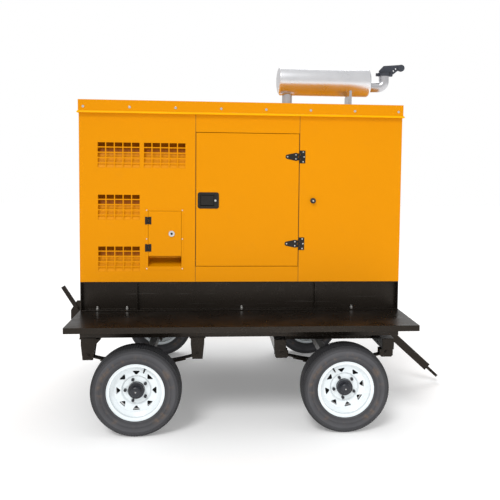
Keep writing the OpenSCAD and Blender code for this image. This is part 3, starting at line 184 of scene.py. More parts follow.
def piece(name, form, finish, body, crease=crease_angle):
    """Makes an object of a bmesh: smooth faces, edges sharper than crease kept, riding on a body."""
    form.normal_update()
    for face in form.faces:
        face.smooth = True
    for edge in form.edges:
        edge.smooth = len(edge.link_faces) == 2 and edge.calc_face_angle(0.0) < math.radians(crease)
    mesh = bpy.data.meshes.new(name)
    form.to_mesh(mesh)
    form.free()
    obj = bpy.data.objects.new(name, mesh)
    bpy.context.scene.collection.objects.link(obj)
    wears(obj, finish)
    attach(obj, body)
    return obj


def rounded(obj, radius, segments=2):
    """Rounds every edge sharper than the crease angle."""
    bevel = obj.modifiers.new("rounded", "BEVEL")
    bevel.width = radius
    bevel.segments = segments
    bevel.limit_method = "ANGLE"
    bevel.angle_limit = math.radians(crease_angle)
    bevel.harden_normals = True
    return obj


def eased(name, finish, radius=0.0012, segments=2, others=()):
    """A copy of a CAD node with its corners eased, which stands for that node.

    Each of others is a second finish and a test of a face that says which faces wear it.
    """
    flat_angle = 0.5
    form = bmesh.new()
    form.from_mesh(nodes[name].data)
    bmesh.ops.remove_doubles(form, verts=form.verts, dist=merge_gap)
    bmesh.ops.dissolve_limit(form, angle_limit=math.radians(flat_angle), verts=form.verts, edges=form.edges)
    obj = piece(name + "_formed", form, finish, body_of[name])
    for number, (other, wanted) in enumerate(others, 1):
        obj.data.materials.append(other.material)
        for face in obj.data.polygons:
            if wanted(face.center, face.normal):
                face.material_index = number
    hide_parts(name)
    return rounded(obj, radius, segments)


def block(form, low, high):
    """A box between two corners, added to a bmesh."""
    made = bmesh.ops.create_cube(form, size=1.0)["verts"]
    bmesh.ops.scale(form, verts=made, vec=[b - a for a, b in zip(low, high)])
    bmesh.ops.translate(form, verts=made, vec=[(a + b) / 2 for a, b in zip(low, high)])
    return made


def baffle_face(at, normal):
    """The baffles slope, so their faces look partly up or down."""
    return 0.2 < abs(normal.z) < 0.5


face_y = 0.575
paint = powder_coat()
# The baffles wear painted shade, darker the deeper they lie behind the panels' face.
baffle_painted_shade = painted_shade_coat(dark=face_y - 0.044, lit=face_y - 0.034)
for name in ("generator_side_panels", "radiator_side_panels", "door_surrounds", "control_end_panel",
             "radiator_end_panel"):
    eased(name, paint, others=[(baffle_painted_shade, baffle_face)])

# ---- Panel seams ----
# The side panels butt together over the frame's posts, and the joint is drawn shut on a black
# rubber strip, whose edge shows as a thin dark line from the skid up to the roof.

def plain(name, slot, low, high, roughness, metallic=0.0, grain=60.0):
    """A finish that varies a little between two colours, with a fine grain."""
    coat = Finish(name, slot)
    coat.set(Base_Color=coat.mix(coat.noise(grain), low, high), Metallic=metallic)
    coat.set(Roughness=coat.noise(grain * 1.7) * 0.15 + roughness)
    coat.set(Normal=coat.bump(coat.noise(grain * 9), 0.00005))
    return coat


seam_rubber = plain("seam_rubber", "rubber", (0.055, 0.022, 0.004), (0.075, 0.032, 0.006), 0.6)
surround_low, surround_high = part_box("door_surrounds")
strip_half = 0.0015
strip_sunk = 0.001
strip_proud = 0.0006
strip_edge = 0.0002
seams = bmesh.new()
for seam_x in (surround_low.x, surround_high.x):
    for side in (-1, 1):
        inner, outer = sorted((side * (face_y - strip_sunk), side * (face_y + strip_proud)))
        block(seams, (seam_x - strip_half, inner, surround_low.z),
              (seam_x + strip_half, outer, surround_high.z))
bmesh.ops.bevel(seams, geom=seams.edges, offset=strip_edge, offset_type="OFFSET", affect="EDGES",
                segments=1, profile=0.5, material=-1)
piece("panel_seam_strips", seams, seam_rubber, "root")

# ---- Roof and its drip lip ----
# The roof is one shallow tray that drops over the walls. A rain lip is folded out along the lower
# edge of its sides, and zinc-plated screws hold it to the frame behind.
eased("roof", paint)
roof_low, roof_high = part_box("roof")
lip_height = 0.014
lip_reach = 0.0095
lip_lap = 0.001
lip_turn = 0.0022
lip_profile = [(-lip_lap, lip_height), (0.0006, lip_height), (0.0040, lip_height * 0.75),
               (lip_reach, 0.0035), (lip_reach, 0.0), (0.0075, -lip_turn), (-lip_lap, -lip_turn)]
lip = bmesh.new()
rings = []
for corner_x, corner_y in ((-1, -1), (1, -1), (1, 1), (-1, 1)):
    edge_x = roof_high.x if corner_x > 0 else roof_low.x
    edge_y = roof_high.y if corner_y > 0 else roof_low.y
    ring = [lip.verts.new((edge_x + corner_x * out, edge_y + corner_y * out, roof_low.z + up))
            for out, up in lip_profile]
    rings.append([lip.edges.new((a, b)) for a, b in zip(ring, ring[1:] + ring[:1])])
for first, second in zip(rings, rings[1:] + rings[:1]):
    bmesh.ops.bridge_loops(lip, edges=first + second)
bmesh.ops.recalc_face_normals(lip, faces=lip.faces)
# The lip's coat is a lighter, yellower orange than the panels: a painted highlight where its upturned fold
# catches the light.
lip_highlight_coat = powder_coat("drip_lip_painted_highlight_coat")
lip_painted_highlight = lip_highlight_coat.mix(lip_highlight_coat.noise(6.0), (0.84, 0.37, 0.0002), (0.93, 0.44, 0.0003))
lip_highlight_coat.set(Base_Color=lip_painted_highlight)
soft_crease = 50.0
piece("roof_drip_lip", lip, lip_highlight_coat, "root", soft_crease)

zinc, zinc_bolts = (plain(name, slot, (0.62, 0.61, 0.58), (0.80, 0.79, 0.76), 0.22, metallic=1.0, grain=140.0)
                    for name, slot in (("zinc_plate", "bare_steel"), ("zinc_bolts", "chassis_black")))
eased("frame_bolts", zinc_bolts, 0.001)

# ---- Side doors, hinges and latches ----
# Each side door is a folded tray of the same sheet, hung on two black strap hinges held with bright
# screws. A black pressed latch sits in a cut-out, with a lifting paddle and a key cylinder.

def black_fitting():
    coat = Finish("black_fitting_coat", "fitting_black")
    coat.set(Base_Color=coat.mix(coat.noise(60.0), (0.008, 0.0072, 0.006), (0.016, 0.0145, 0.012)))
    coat.set(Roughness=coat.noise(90.0, 3.0) * 0.2 + 0.28, Specular_IOR_Level=0.28)
    coat.set(Normal=coat.bump(coat.noise(900.0, 2.0), 0.00004))
    return coat


fitting = black_fitting()
fitting_edge = 0.0008
strap_face = face_y + 0.003
leaf_low, leaf_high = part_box("hinge_leaves")
pin_x = (leaf_low.x + leaf_high.x) / 2 - 0.019
knuckle_r = 0.0125
strap_reach = 0.15
head_height = 0.0022
key_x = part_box("latch_paddle_near")[1].x + 0.013
key_r = 0.0085
key_face = face_y + 0.0045


def screw_head(at, normal):
    """Faces that stand proud of the flat of a hinge, but not those of its knuckle or of the latch."""
    proud = abs(at.y) - strap_face
    return 0.0001 < proud < head_height and knuckle_r < abs(at.x - pin_x) < strap_reach


def key_cylinder(at, normal):
    return abs(at.y) > key_face and abs(at.x - key_x) < key_r


for side in ("near", "far"):
    eased("door_" + side, paint)
    eased("door_fittings_" + side, fitting, fitting_edge, others=[(zinc, screw_head), (zinc, key_cylinder)])
    eased("latch_paddle_" + side, fitting, fitting_edge)
eased("hinge_leaves", fitting, fitting_edge, others=[(zinc, screw_head)])

# ---- Terminal box ----
# A pressed steel box let into the near side, with a bright-screwed frame. Its small door hangs on
# two black pressed hinges and shuts with a chromed cam lock above the open cable slot.

proud_of_frame = face_y + 0.0023
small_door_low, small_door_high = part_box("terminal_door")
hinge_edge = small_door_low.x + 0.028
hinge_z = (small_door_low.z + 0.060, small_door_high.z - 0.070)
hinge_half = 0.030


def hinge_leaf(at, normal):
    from_hinge = min(abs(at.z - z) for z in hinge_z)
    return abs(at.y) > proud_of_frame and at.x < hinge_edge and from_hinge < hinge_half


def frame_screw(at, normal):
    return abs(at.y) > proud_of_frame and not hinge_leaf(at, normal)


eased("terminal_door", paint, others=[(fitting, hinge_leaf)])
eased("terminal_box", paint, others=[(fitting, hinge_leaf), (zinc, frame_screw)])
chrome = plain("chromed_zinc", "chrome", (0.62, 0.62, 0.63), (0.74, 0.74, 0.75), 0.12, 1.0)
soft_edge = 0.003
eased("terminal_lock", chrome, soft_edge, 3)
eased("control_door", paint)

# The lock's dark barrel, with the core of its key slot inside
lock_low, lock_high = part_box("terminal_lock")
lock_x = lock_low.x + (lock_high.z - lock_low.z) / 2
lock_z = (lock_low.z + lock_high.z) / 2
core_half_w = 0.0016
core_half_h = 0.007
core_front = 0.0008
core_back = 0.001
barrel_r = 0.0095
barrel_rim_r = 0.0085
barrel_depth = 0.003
barrel_face = Matrix.Translation((lock_x, lock_low.y, lock_z)) @ Matrix.Rotation(math.radians(90), 4, "X")
barrel = bmesh.new()
block(barrel, (lock_x - core_half_w, lock_low.y - core_front, lock_z - core_half_h),
      (lock_x + core_half_w, lock_low.y + core_back, lock_z + core_half_h))
bmesh.ops.create_cone(barrel, cap_ends=True, segments=32, radius1=barrel_r, radius2=barrel_rim_r,
                      depth=barrel_depth, matrix=barrel_face)
piece("lock_barrel", barrel, fitting, "terminal_lock")

# ---- Skid base, deck, chassis and running gear ----
# Channels, tubes and plain plate of mild steel, welded and bolted up, then painted with black enamel.
# The flat tops gather road dust and carry scratches from boots and tools.

def black_enamel():
    coat = Finish("chassis_black_enamel", "chassis_black")
    flat = coat.ramp(coat.upward(), 0.2, 0.9)
    dust = coat.ramp(coat.noise(5.0, 9.0, 0.72), 0.44, 0.74) * flat * 0.10
    scratch = coat.ramp(coat.noise(1.0, 6.0, 0.6, coat.stretched((2.5, 150.0, 60.0))), 0.63, 0.66) * 0.12
    shade = coat.mix(coat.noise(2.3), (0.0055, 0.0041, 0.0030), (0.0105, 0.0080, 0.0060))
    shade = coat.mix(dust, shade, (0.11, 0.11, 0.11))
    coat.set(Base_Color=coat.mix(scratch, shade, (0.10, 0.095, 0.09)), Specular_IOR_Level=0.30)
    coat.set(Specular_Tint=(1.0, 0.89, 0.79))
    coat.set(Roughness=dust * 1.6 + coat.noise(16.0, 5.0) * 0.16 + 0.20)
    coat.set(Normal=coat.bump(coat.noise(160.0, 2.0), 0.00003))
    return coat


enamel = black_enamel()
steel_edge = 0.0015
for name in ("base_frame", "deck", "chassis_frame", "rear_spring_hangers", "rear_springs", "rear_axle",
             "front_springs", "front_axle", "bogie_frame", "drawbar", "brake_bracket", "brake_lever"):
    eased(name, enamel, steel_edge)

# Plates welded over the open ends of the bogie's two cross tubes
tube_w = 0.090
tube_h = 0.084
tube_top = 0.5396
tube_end = 0.615
tube_spacing = 0.824
plate_t = 0.004
plate_overlap = 0.001
weld_step = 0.002
first_tube_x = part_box("bogie_frame")[0].x + tube_w / 2
end_plates = bmesh.new()
for x in (first_tube_x, first_tube_x + tube_spacing):
    for side in (-1, 1):
        inner, outer = sorted((side * (tube_end - plate_overlap), side * (tube_end + plate_t)))
        block(end_plates, (x - tube_w / 2 + weld_step, inner, tube_top - tube_h + weld_step),
              (x + tube_w / 2 - weld_step, outer, tube_top - weld_step))
rounded(piece("bogie_tube_end_plates", end_plates, enamel, "bogie"), steel_edge)


# ---- Silencer and rain cap ----
# A rolled drum of aluminised steel with dished ends, on a folded saddle. Its inlet stands on a
# flange, and its outlet bends upwards to a black counterweighted rain cap held by a clamp.

def aluminised(name, low, high):
    metal = Finish(name, "galvanised")
    rolled = metal.noise(1.0, 5.0, 0.6, metal.stretched((5.0, 150.0, 150.0)))
    clouds = metal.noise(9.0, 6.0, 0.6)
    metal.set(Base_Color=metal.mix(clouds, low, high), Metallic=0.95)
    metal.set(Roughness=rolled * 0.06 + metal.ramp(clouds, 0.3, 0.8) * 0.08 + 0.24)
    metal.set(Normal=metal.bump(rolled, 0.000004))
    return metal


def turned(form, points, axis, centre, steps=64, closed=False):
    """Turns a line of points, each along and out from an axis, into a solid of revolution."""
    spots = {"X": lambda a, r: (a, 0, r), "Y": lambda a, r: (0, a, r), "Z": lambda a, r: (r, 0, a)}[axis]
    line = [form.verts.new(Vector(centre) + Vector(spots(a, r))) for a, r in points]
    edges = [form.edges.new(pair) for pair in zip(line, line[1:])]
    if closed:
        edges.append(form.edges.new((line[-1], line[0])))
    bmesh.ops.spin(form, geom=line + edges, cent=centre, axis=[float(k == axis) for k in "XYZ"],
                   angle=math.tau, steps=steps, use_merge=True)
    bmesh.ops.remove_doubles(form, verts=form.verts, dist=merge_gap)
    bmesh.ops.recalc_face_normals(form, faces=form.faces)


silencer_metal = aluminised("aluminised_drum", (0.80, 0.81, 0.84), (0.93, 0.93, 0.95))
# The pipes and the saddle wear a darker copy of the drum's metal: painted shade.
aluminised_painted_darker = aluminised("aluminised_pipe_painted_shade", (0.50, 0.50, 0.52), (0.66, 0.66, 0.68))
drum_z = 2.537
drum_r = 0.117
drum_left = 0.189
drum_right = 0.930
dish_depth = 0.029
rolled_lip = 0.003
seam_w = 0.010
seam_step = 0.0005
shell_r = drum_r - 0.001
shell_end = drum_right - 0.026
shoulder_r = 0.024
shoulder_base = drum_r - 0.026
drum_steps = 96
drum_crease = 28.0
quarter = [i * math.pi / 16 for i in range(9)]
drum = bmesh.new()
turned(drum, [(drum_left - dish_depth * math.cos(a), (drum_r - rolled_lip) * math.sin(a)) for a in quarter]
       + [(drum_left, drum_r), (drum_left + seam_w, drum_r), (drum_left + seam_w + seam_step, shell_r),
          (shell_end, shell_r)]
       + [(drum_right - shoulder_r + shoulder_r * math.sin(a), shoulder_base + shoulder_r * math.cos(a))
          for a in quarter]
       + [(drum_right, 0.0)], "X", (0, 0, drum_z), drum_steps)
silencer = piece("silencer_drum", drum, silencer_metal, "root", drum_crease)
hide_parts("silencer")

# The inlet stands in a flange on the roof, and the outlet is one pipe bent up through a right angle
pipe_r = 0.041
bore_r = pipe_r - 0.0035
roof_top = roof_high.z
inlet_x = 0.249
inlet_top = drum_z - drum_r + 0.02
flange_bore = pipe_r + 0.0005
flange_r = pipe_r + 0.030
flange_top = roof_top + 0.010
outlet_start = drum_right - 0.01
outlet_x = 1.055
outlet_z = 2.502
outlet_top = 2.618
elbow_r = 0.052
elbow_x = outlet_x - elbow_r
elbow_z = outlet_z + elbow_r
pipes = bmesh.new()
turned(pipes, [(roof_top, pipe_r), (inlet_top, pipe_r), (inlet_top, bore_r), (roof_top, bore_r)],
       "Z", (inlet_x, 0, 0), 48, closed=True)
turned(pipes, [(roof_top, flange_bore), (flange_top, flange_bore), (flange_top, flange_r),
               (roof_top, flange_r)], "Z", (inlet_x, 0, 0), 48, closed=True)
section = []
for radius in (pipe_r, bore_r):
    turn = Matrix.Translation((outlet_start, 0, outlet_z)) @ Matrix.Rotation(math.radians(90), 4, "Y")
    ring = bmesh.ops.create_circle(pipes, segments=40, radius=radius, matrix=turn)["verts"]
    section.append(list({edge for vert in ring for edge in vert.link_edges}))
start = bmesh.ops.bridge_loops(pipes, edges=section[0] + section[1])["faces"]
straight = bmesh.ops.extrude_face_region(pipes, geom=start)["geom"]
bmesh.ops.translate(pipes, verts=[v for v in straight if isinstance(v, bmesh.types.BMVert)],
                    vec=(elbow_x - outlet_start, 0, 0))
front = [f for f in straight if isinstance(f, bmesh.types.BMFace)]
bend = bmesh.ops.spin(pipes, geom=front, cent=(elbow_x, 0, elbow_z), axis=(0, -1, 0),
                      angle=math.pi / 2, steps=14)["geom_last"]
bmesh.ops.delete(pipes, geom=front, context="FACES_ONLY")
upper = [f for f in bend if isinstance(f, bmesh.types.BMFace)]
rise = bmesh.ops.extrude_face_region(pipes, geom=upper)["geom"]
bmesh.ops.translate(pipes, verts=[v for v in rise if isinstance(v, bmesh.types.BMVert)],
                    vec=(0, 0, outlet_top - elbow_z))
bmesh.ops.delete(pipes, geom=upper, context="FACES_ONLY")
bmesh.ops.remove_doubles(pipes, verts=pipes.verts, dist=merge_gap)
bmesh.ops.recalc_face_normals(pipes, faces=pipes.faces)
piece("silencer_pipes", pipes, aluminised_painted_darker, "root", 40.0)

# The saddle is a folded U with a foot, two uprights that narrow upwards, and a web between them
saddle_left = 0.744
saddle_right = 0.771
saddle_half = 0.088
saddle_t = 0.004
upright_t = 0.005
upright_top = drum_z - 0.070
upright_narrowing = 0.72
web_base = roof_top + 0.02
web_top = drum_z - drum_r - 0.002
saddle = bmesh.new()
block(saddle, (saddle_left, -saddle_half, roof_top), (saddle_right, saddle_half, roof_top + saddle_t))
for side in (-1, 1):
    inner, outer = sorted((side * (saddle_half - upright_t), side * saddle_half))
    upright = block(saddle, (saddle_left, inner, roof_top), (saddle_right, outer, upright_top))
    top = [v for v in upright if v.co.z > upright_top - saddle_t]
    bmesh.ops.scale(saddle, verts=top, vec=(upright_narrowing, 1, 1),
                    space=Matrix.Translation((-saddle_right, 0, 0)))
block(saddle, (saddle_left, -saddle_half + saddle_t, web_base),
      (saddle_left + saddle_t, saddle_half - saddle_t, web_top))
rounded(piece("silencer_saddle", saddle, aluminised_painted_darker, "root"), 0.001)

cap_casting = plain("rain_cap_casting", "fitting_black", (0.022, 0.026, 0.036), (0.045, 0.052, 0.068), 0.32)
for name in ("rain_cap_clamp", "rain_cap_flap"):
    eased(name, cap_casting, steel_edge)

# ---- Wheels ----
# Radial trailer tyres on pressed steel rims in white enamel, each bolted to a black cast hub with its
# studs and nuts. A brake drum sits behind the rim, and a grease cap closes the hub's bearings.

def tyre_rubber():
    """Rubber with rubbed-in dust, and painted light and shade in rings out from the hub. The wall attribute
    holds the way round the tyre and out from its hub.
    """
    rubber = Finish("tyre_rubber", "tyre")
    wall = rubber.add("ShaderNodeAttribute", {"attribute_name": "wall"}, out="Vector")
    out = rubber.add("ShaderNodeSeparateXYZ", None, {"Vector": wall}, out="Z")
    band = rubber.ramp(out, 0.70, 0.76) * (1 - rubber.ramp(out, 0.80, 0.88))
    smear = rubber.ramp(rubber.noise(3.0, 6.0, 0.6, wall), 0.52, 0.70) * band * 0.55
    # Painted light and shade: rings of lighter and darker rubber out from the hub across the wall, lighter
    # again on the tread, varied at random.
    painted_wall_rings = rubber.add("ShaderNodeValToRGB", {"stops": (
        (0.645, 0.30), (0.665, 0.95), (0.68, 0.45), (0.75, 0.85), (0.775, 0.55), (0.80, 0.75), (0.865, 0.95),
        (0.885, 0.55), (0.93, 0.50), (0.965, 0.22), (1.0, 0.42))}, {"Fac": out})
    painted_wall_rings = painted_wall_rings * (rubber.noise(6.0, 5.0) * 0.9 + 0.5)
    shade = rubber.mix(painted_wall_rings, (0.012, 0.012, 0.013), (0.074, 0.074, 0.080))
    rubber.set(Base_Color=rubber.mix(smear, shade, (0.17, 0.115, 0.075)), Specular_IOR_Level=0.3)
    rubber.set(Roughness=rubber.noise(40.0) * 0.2 + 0.55)
    rubber.set(Normal=rubber.bump(rubber.noise(500.0, 3.0), 0.00008))
    return rubber


def tyre(name, finish):
    """A tyre turned from its section, then cut into tread blocks and shoulder blocks.

    The section's points lie in from the tyre's widest place and in from its tread.
    """
    low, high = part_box(name)
    middle = (low + high) / 2
    outer = (high.z - low.z) / 2
    half_w = (high.y - low.y) / 2
    block_height = 0.006
    groove_half = 0.0026
    crown = 0.005
    ribs = 5
    blocks_round = 112
    tread_half = half_w - 0.019
    tread_depth = 0.013
    shoulder_depth = 0.024
    shoulder_groove = 0.0022
    shoulder_height = 0.0030
    side = [(half_w - from_wall, outer - from_tread) for from_wall, from_tread in (
        (0.0065, 0.0240), (0.0066, 0.0260), (0.0025, 0.0340), (0.0024, 0.0360), (0.0038, 0.0375),
        (0.0012, 0.0500), (0.0, 0.0620), (0.0012, 0.0700), (0.0004, 0.0715), (0.0004, 0.0745),
        (0.0030, 0.0755), (0.0060, 0.0860), (0.0098, 0.0960), (0.0090, 0.0972), (0.0125, 0.1010),
        (0.0165, 0.1070), (0.0225, 0.1100), (0.0230, 0.1280))]
    across = [2 * i / ribs - 1 for i in range(ribs + 1)]
    tread = [(tread_half * share, outer - block_height - crown * share ** 2) for share in across]
    inner = [(half_w - from_wall, outer - from_tread) for from_wall, from_tread in (
        (0.036, 0.126), (0.012, 0.062), (0.030, 0.022))]
    ring = [(-w, r) for w, r in reversed(side)] + tread + side + inner + [(-w, r) for w, r in reversed(inner)]
    form = bmesh.new()
    verts = [form.verts.new((0, w, r)) for w, r in ring]
    edges = [form.edges.new((a, b)) for a, b in zip(verts, verts[1:] + verts[:1])]
    bmesh.ops.spin(form, geom=verts + edges, cent=(0, 0, 0), axis=(0, 1, 0), angle=math.tau,
                   steps=blocks_round, use_merge=True)
    bmesh.ops.recalc_face_normals(form, faces=form.faces)

    def face_radius(face):
        centre = face.calc_center_median()
        return math.hypot(centre.x, centre.z)

    blocks = [f for f in form.faces if face_radius(f) > outer - tread_depth and f.normal.y ** 2 < 0.2]
    bmesh.ops.inset_individual(form, faces=blocks, thickness=groove_half, depth=block_height)
    shoulders = [f for f in form.faces if abs(f.calc_center_median().y) > tread_half + 0.001
                 and face_radius(f) > outer - shoulder_depth and len(f.verts) == 4 and f.calc_area() > 1e-4]
    bmesh.ops.inset_individual(form, faces=shoulders, thickness=shoulder_groove, depth=shoulder_height)
    wall = form.verts.layers.float_vector.new("wall")
    wall_size = 1.3
    for vert in form.verts:
        around = math.atan2(vert.co.z, vert.co.x)
        out = math.hypot(vert.co.x, vert.co.z) / outer
        vert[wall] = (math.cos(around) * wall_size, math.sin(around) * wall_size, out)
    bmesh.ops.translate(form, verts=form.verts, vec=middle)
    tread_crease = 25.0
    obj = piece(name + "_cover", form, finish, body_of[name], tread_crease)
    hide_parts(name)


def white_enamel():
    coat = Finish("white_wheel_enamel", "wheel_white")
    grime = coat.ramp(coat.noise(14.0, 8.0, 0.7), 0.52, 0.80) * 0.22
    coat.set(Base_Color=coat.mix(grime, (0.70, 0.75, 0.77), (0.40, 0.39, 0.36)))
    coat.set(Roughness=grime * 1.2 + 0.24, Coat_Weight=0.25)
    coat.set(Normal=coat.bump(coat.noise(300.0), 0.00003))
    return coat


def hub_enamel():
    coat = Finish("hub_black_enamel", "hub_black")
    coat.set(Base_Color=coat.mix(coat.noise(30.0), (0.009, 0.010, 0.014), (0.020, 0.022, 0.029)))
    coat.set(Roughness=coat.noise(60.0) * 0.2 + 0.22)
    coat.set(Normal=coat.bump(coat.noise(240.0, 3.0), 0.00008))
    return coat


tread_rubber = tyre_rubber()
rim_white = white_enamel()
hub_black = hub_enamel()
stem_rubber = plain("stem_rubber", "rubber", (0.010, 0.010, 0.010), (0.02, 0.02, 0.02), 0.5)
drum_iron = plain("brake_drum_iron", "hub_black", (0.008, 0.008, 0.008), (0.016, 0.015, 0.014), 0.6)
stem_r = 0.166
stem_in = 0.036
stem_lean = Vector((-0.76, 0.0, 0.65)).to_track_quat("Z", "X").to_matrix().to_4x4()
stem_angles = {"rear_near": 68, "front_near": 122, "rear_far": 112, "front_far": 58}
for place, angle in stem_angles.items():
    tyre("tyre_" + place, tread_rubber)
    eased("rim_" + place, rim_white)
    eased("hub_" + place, hub_black, steel_edge)
    body = body_of["rim_" + place]
    rim_low, rim_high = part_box("rim_" + place)
    middle = (rim_low + rim_high) / 2
    outward = -1 if place.endswith("near") else 1

    # Brake drum bolted behind the wheel's disc, seen through the windows
    drum = bmesh.new()
    turned(drum, [(outward * along, r) for along, r in (
        (-0.076, 0.053), (-0.076, 0.130), (-0.070, 0.138), (-0.020, 0.138), (-0.013, 0.130), (-0.013, 0.096),
        (-0.020, 0.095), (-0.020, 0.053))], "Y", middle, 48, closed=True)
    piece("brake_drum_" + place, drum, drum_iron, body)

    # Valve stem, pushed through the rim and leaning in towards the hub
    stem = bmesh.new()
    turned(stem, [(0.0, 0.0), (0.0, 0.0085), (0.004, 0.0085), (0.008, 0.0062), (0.024, 0.0056),
                  (0.025, 0.0046), (0.036, 0.0046), (0.038, 0.003), (0.038, 0.0)], "Z", (0, 0, 0), 20)
    facing = Matrix.Rotation(math.radians(-90 * outward), 4, "X")
    at_rim = Matrix.Translation(middle) @ Matrix.Rotation(math.radians(-angle), 4, "Y") @ facing
    seat = at_rim @ Matrix.Translation((stem_r, 0, stem_in)) @ stem_lean
    bmesh.ops.transform(stem, matrix=seat, verts=stem.verts)
    bmesh.ops.recalc_face_normals(stem, faces=stem.faces)
    piece("valve_stem_" + place, stem, stem_rubber, body)

    # Grease cap with its small bright plug, tapped into the hub
    hub_low, hub_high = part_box("hub_" + place)
    cap_seat = (middle.x, outward * max(abs(hub_low.y), abs(hub_high.y)), middle.z)
    cap = bmesh.new()
    turned(cap, [(outward * along, r) for along, r in (
        (-0.006, 0.0), (-0.006, 0.033), (-0.002, 0.034), (0.0, 0.033), (0.0035, 0.026), (0.005, 0.016),
        (0.0055, 0.010), (0.0055, 0.0))], "Y", cap_seat, 40)
    piece("grease_cap_" + place, cap, hub_black, body, soft_crease)
    plug = bmesh.new()
    turned(plug, [(outward * along, r) for along, r in (
        (0.004, 0.0), (0.004, 0.005), (0.008, 0.0045), (0.009, 0.003), (0.009, 0.0))], "Y", cap_seat, 20)
    piece("grease_plug_" + place, plug, zinc, body, soft_crease)


# ---- Engine, tank and bought-in parts ----
# Inside stand a green cast-iron engine with its generator, a radiator, a battery and the fuel tank.
# The small parts of rubber, plastic and painted steel are bought in and pushed or screwed into place.

moulded_rubber = plain("moulded_rubber", "rubber", (0.012, 0.012, 0.012), (0.03, 0.03, 0.03), 0.6)
black_plastic = plain("black_plastic", "black_plastic", (0.015, 0.015, 0.016), (0.03, 0.03, 0.03), 0.4)
engine_green = plain("engine_enamel", "engine_paint", (0.03, 0.09, 0.06), (0.05, 0.12, 0.08), 0.35)
stained_iron = plain("stained_iron", "rusty_iron", (0.09, 0.04, 0.02), (0.2, 0.11, 0.07), 0.7)
machined = plain("machined_steel", "bare_steel", (0.4, 0.4, 0.41), (0.55, 0.55, 0.56), 0.3, 1.0)
fan_plastic = plain("fan_plastic", "fan_plastic", (0.6, 0.6, 0.57), (0.68, 0.68, 0.65), 0.4)
stop_red = plain("stop_red", "stop_red", (0.5, 0.01, 0.005), (0.62, 0.015, 0.01), 0.25)
grey_paint = plain("grey_paint", "grey_paint", (0.4, 0.41, 0.42), (0.48, 0.49, 0.5), 0.4)
radiator_black = plain("radiator_black", "radiator_black", (0.012, 0.012, 0.012), (0.025, 0.025, 0.025), 0.5)
for name, finish in {
        "engine_mounts": moulded_rubber, "stop_button": stop_red, "fuel_cap": black_plastic,
        "air_filter": black_plastic, "battery": black_plastic, "control_box": grey_paint,
        "radiator": radiator_black, "engine_block": engine_green, "cylinder_head": engine_green,
        "generator_casing": engine_green, "exhaust_manifold": stained_iron, "fan": fan_plastic,
        "fuel_tank": enamel}.items():
    eased(name, finish, steel_edge)

# The crankshaft is turned a little under size, so that it clears the facets of its bearings' bores
crank = eased("crankshaft", machined, steel_edge)
crank_low, crank_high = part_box("crankshaft")
crank_axis = Matrix.Translation((0, 0, (crank_low.z + crank_high.z) / 2))
journal = 0.985
crank.data.transform(crank_axis @ Matrix.Diagonal((1, journal, journal, 1)) @ crank_axis.inverted())

# The door stops are rubber buffers, each held to its panel by a bright screw
eased("door_stops", moulded_rubber, soft_edge, 3)
stop_low, stop_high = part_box("door_stops")
stop_middle = (stop_low + stop_high) / 2
stop_screws = bmesh.new()
for side, stop_y in ((-1, stop_low.y), (1, stop_high.y)):
    turned(stop_screws, [(side * along, r) for along, r in (
        (-0.003, 0.0), (-0.003, 0.0062), (0.0005, 0.0062), (0.002, 0.0045), (0.0026, 0.0))],
        "Y", (stop_middle.x, stop_y, stop_middle.z), 24)
piece("door_stop_screws", stop_screws, zinc, "root", soft_crease)

# ---- Studio ----
# The set stands on a wide sheet of matt white paper in front of a plain white surround. A large panel
# lights it from behind, a small one from the front, and a soft sun from overhead.

paper = Finish("studio_paper", "")
paper.set(Base_Color=(0.93, 0.93, 0.93), Roughness=0.9, Specular_IOR_Level=0.1)
paper.set(Emission_Color=(1.0, 1.0, 1.0), Emission_Strength=0.16)
paper_half = 30.0
sheet = bmesh.new()
bmesh.ops.create_grid(sheet, x_segments=1, y_segments=1, size=paper_half)
mesh = bpy.data.meshes.new("floor")
sheet.to_mesh(mesh)
sheet.free()
mesh.materials.append(paper.material)
floor = bpy.data.objects.new("floor", mesh)
bpy.context.scene.collection.objects.link(floor)

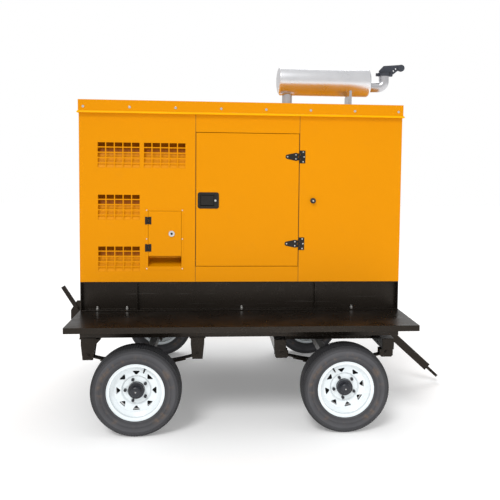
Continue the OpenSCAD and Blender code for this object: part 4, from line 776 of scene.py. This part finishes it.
world = bpy.data.worlds.new("studio")
bpy.context.scene.world = world
world.use_nodes = True
surround = world.node_tree.nodes["Background"]
surround.inputs["Color"].default_value = (1.0, 1.0, 1.0, 1.0)
glow = 0.65
light_path = world.node_tree.nodes.new("ShaderNodeLightPath")
seen = Wire(world.node_tree, light_path.outputs["Is Camera Ray"])
world.node_tree.links.new((seen * (1.0 - glow) + glow).socket, surround.inputs["Strength"])


def light_panel(name, place, aim, size, power):
    """A square lamp that faces one point."""
    lamp = bpy.data.lights.new(name, "AREA")
    lamp.shape = "SQUARE"
    lamp.size = size
    lamp.energy = power
    obj = bpy.data.objects.new(name, lamp)
    obj.location = place
    obj.rotation_euler = (Vector(aim) - Vector(place)).to_track_quat("-Z", "Y").to_euler()
    bpy.context.scene.collection.objects.link(obj)
    return obj


light_panel("back_panel", (1.0, 5.0, 7.0), (0, 0, 1.0), 5.0, 200.0)
low_fill = light_panel("low_fill", (0.2, -4.6, 0.9), (0.1, -0.6, 1.2), 1.6, 46.0)
low_fill.visible_camera = False
low_fill.visible_glossy = False
softbox = bpy.data.lights.new("overhead_softbox", "SUN")
softbox.energy = 1.35
softbox.angle = math.radians(20)
sun_way = Vector((0.3, 0.7, -0.75))
overhead = bpy.data.objects.new("overhead_softbox", softbox)
overhead.rotation_euler = sun_way.to_track_quat("-Z", "Y").to_euler()
bpy.context.scene.collection.objects.link(overhead)

camera_place = Vector((-0.3275, -5.5599, 1.7947))
camera_yaw = 4.7553
camera_pitch = 3.8505
camera_roll = 0.6309
camera_data = bpy.data.cameras.new("camera")
camera_data.sensor_width = 36.0
camera_data.lens = 48.43152
camera_data.shift_x = -0.0438
camera_data.shift_y = -0.0662
camera_data.clip_end = 200.0
camera = bpy.data.objects.new("camera", camera_data)
camera.matrix_world = (Matrix.Translation(camera_place)
                       @ Matrix.Rotation(math.radians(-camera_yaw), 4, "Z")
                       @ Matrix.Rotation(math.radians(90 - camera_pitch), 4, "X")
                       @ Matrix.Rotation(math.radians(camera_roll), 4, "Z"))
bpy.context.scene.collection.objects.link(camera)
bpy.context.scene.camera = camera
bpy.context.scene.view_settings.view_transform = "Standard"
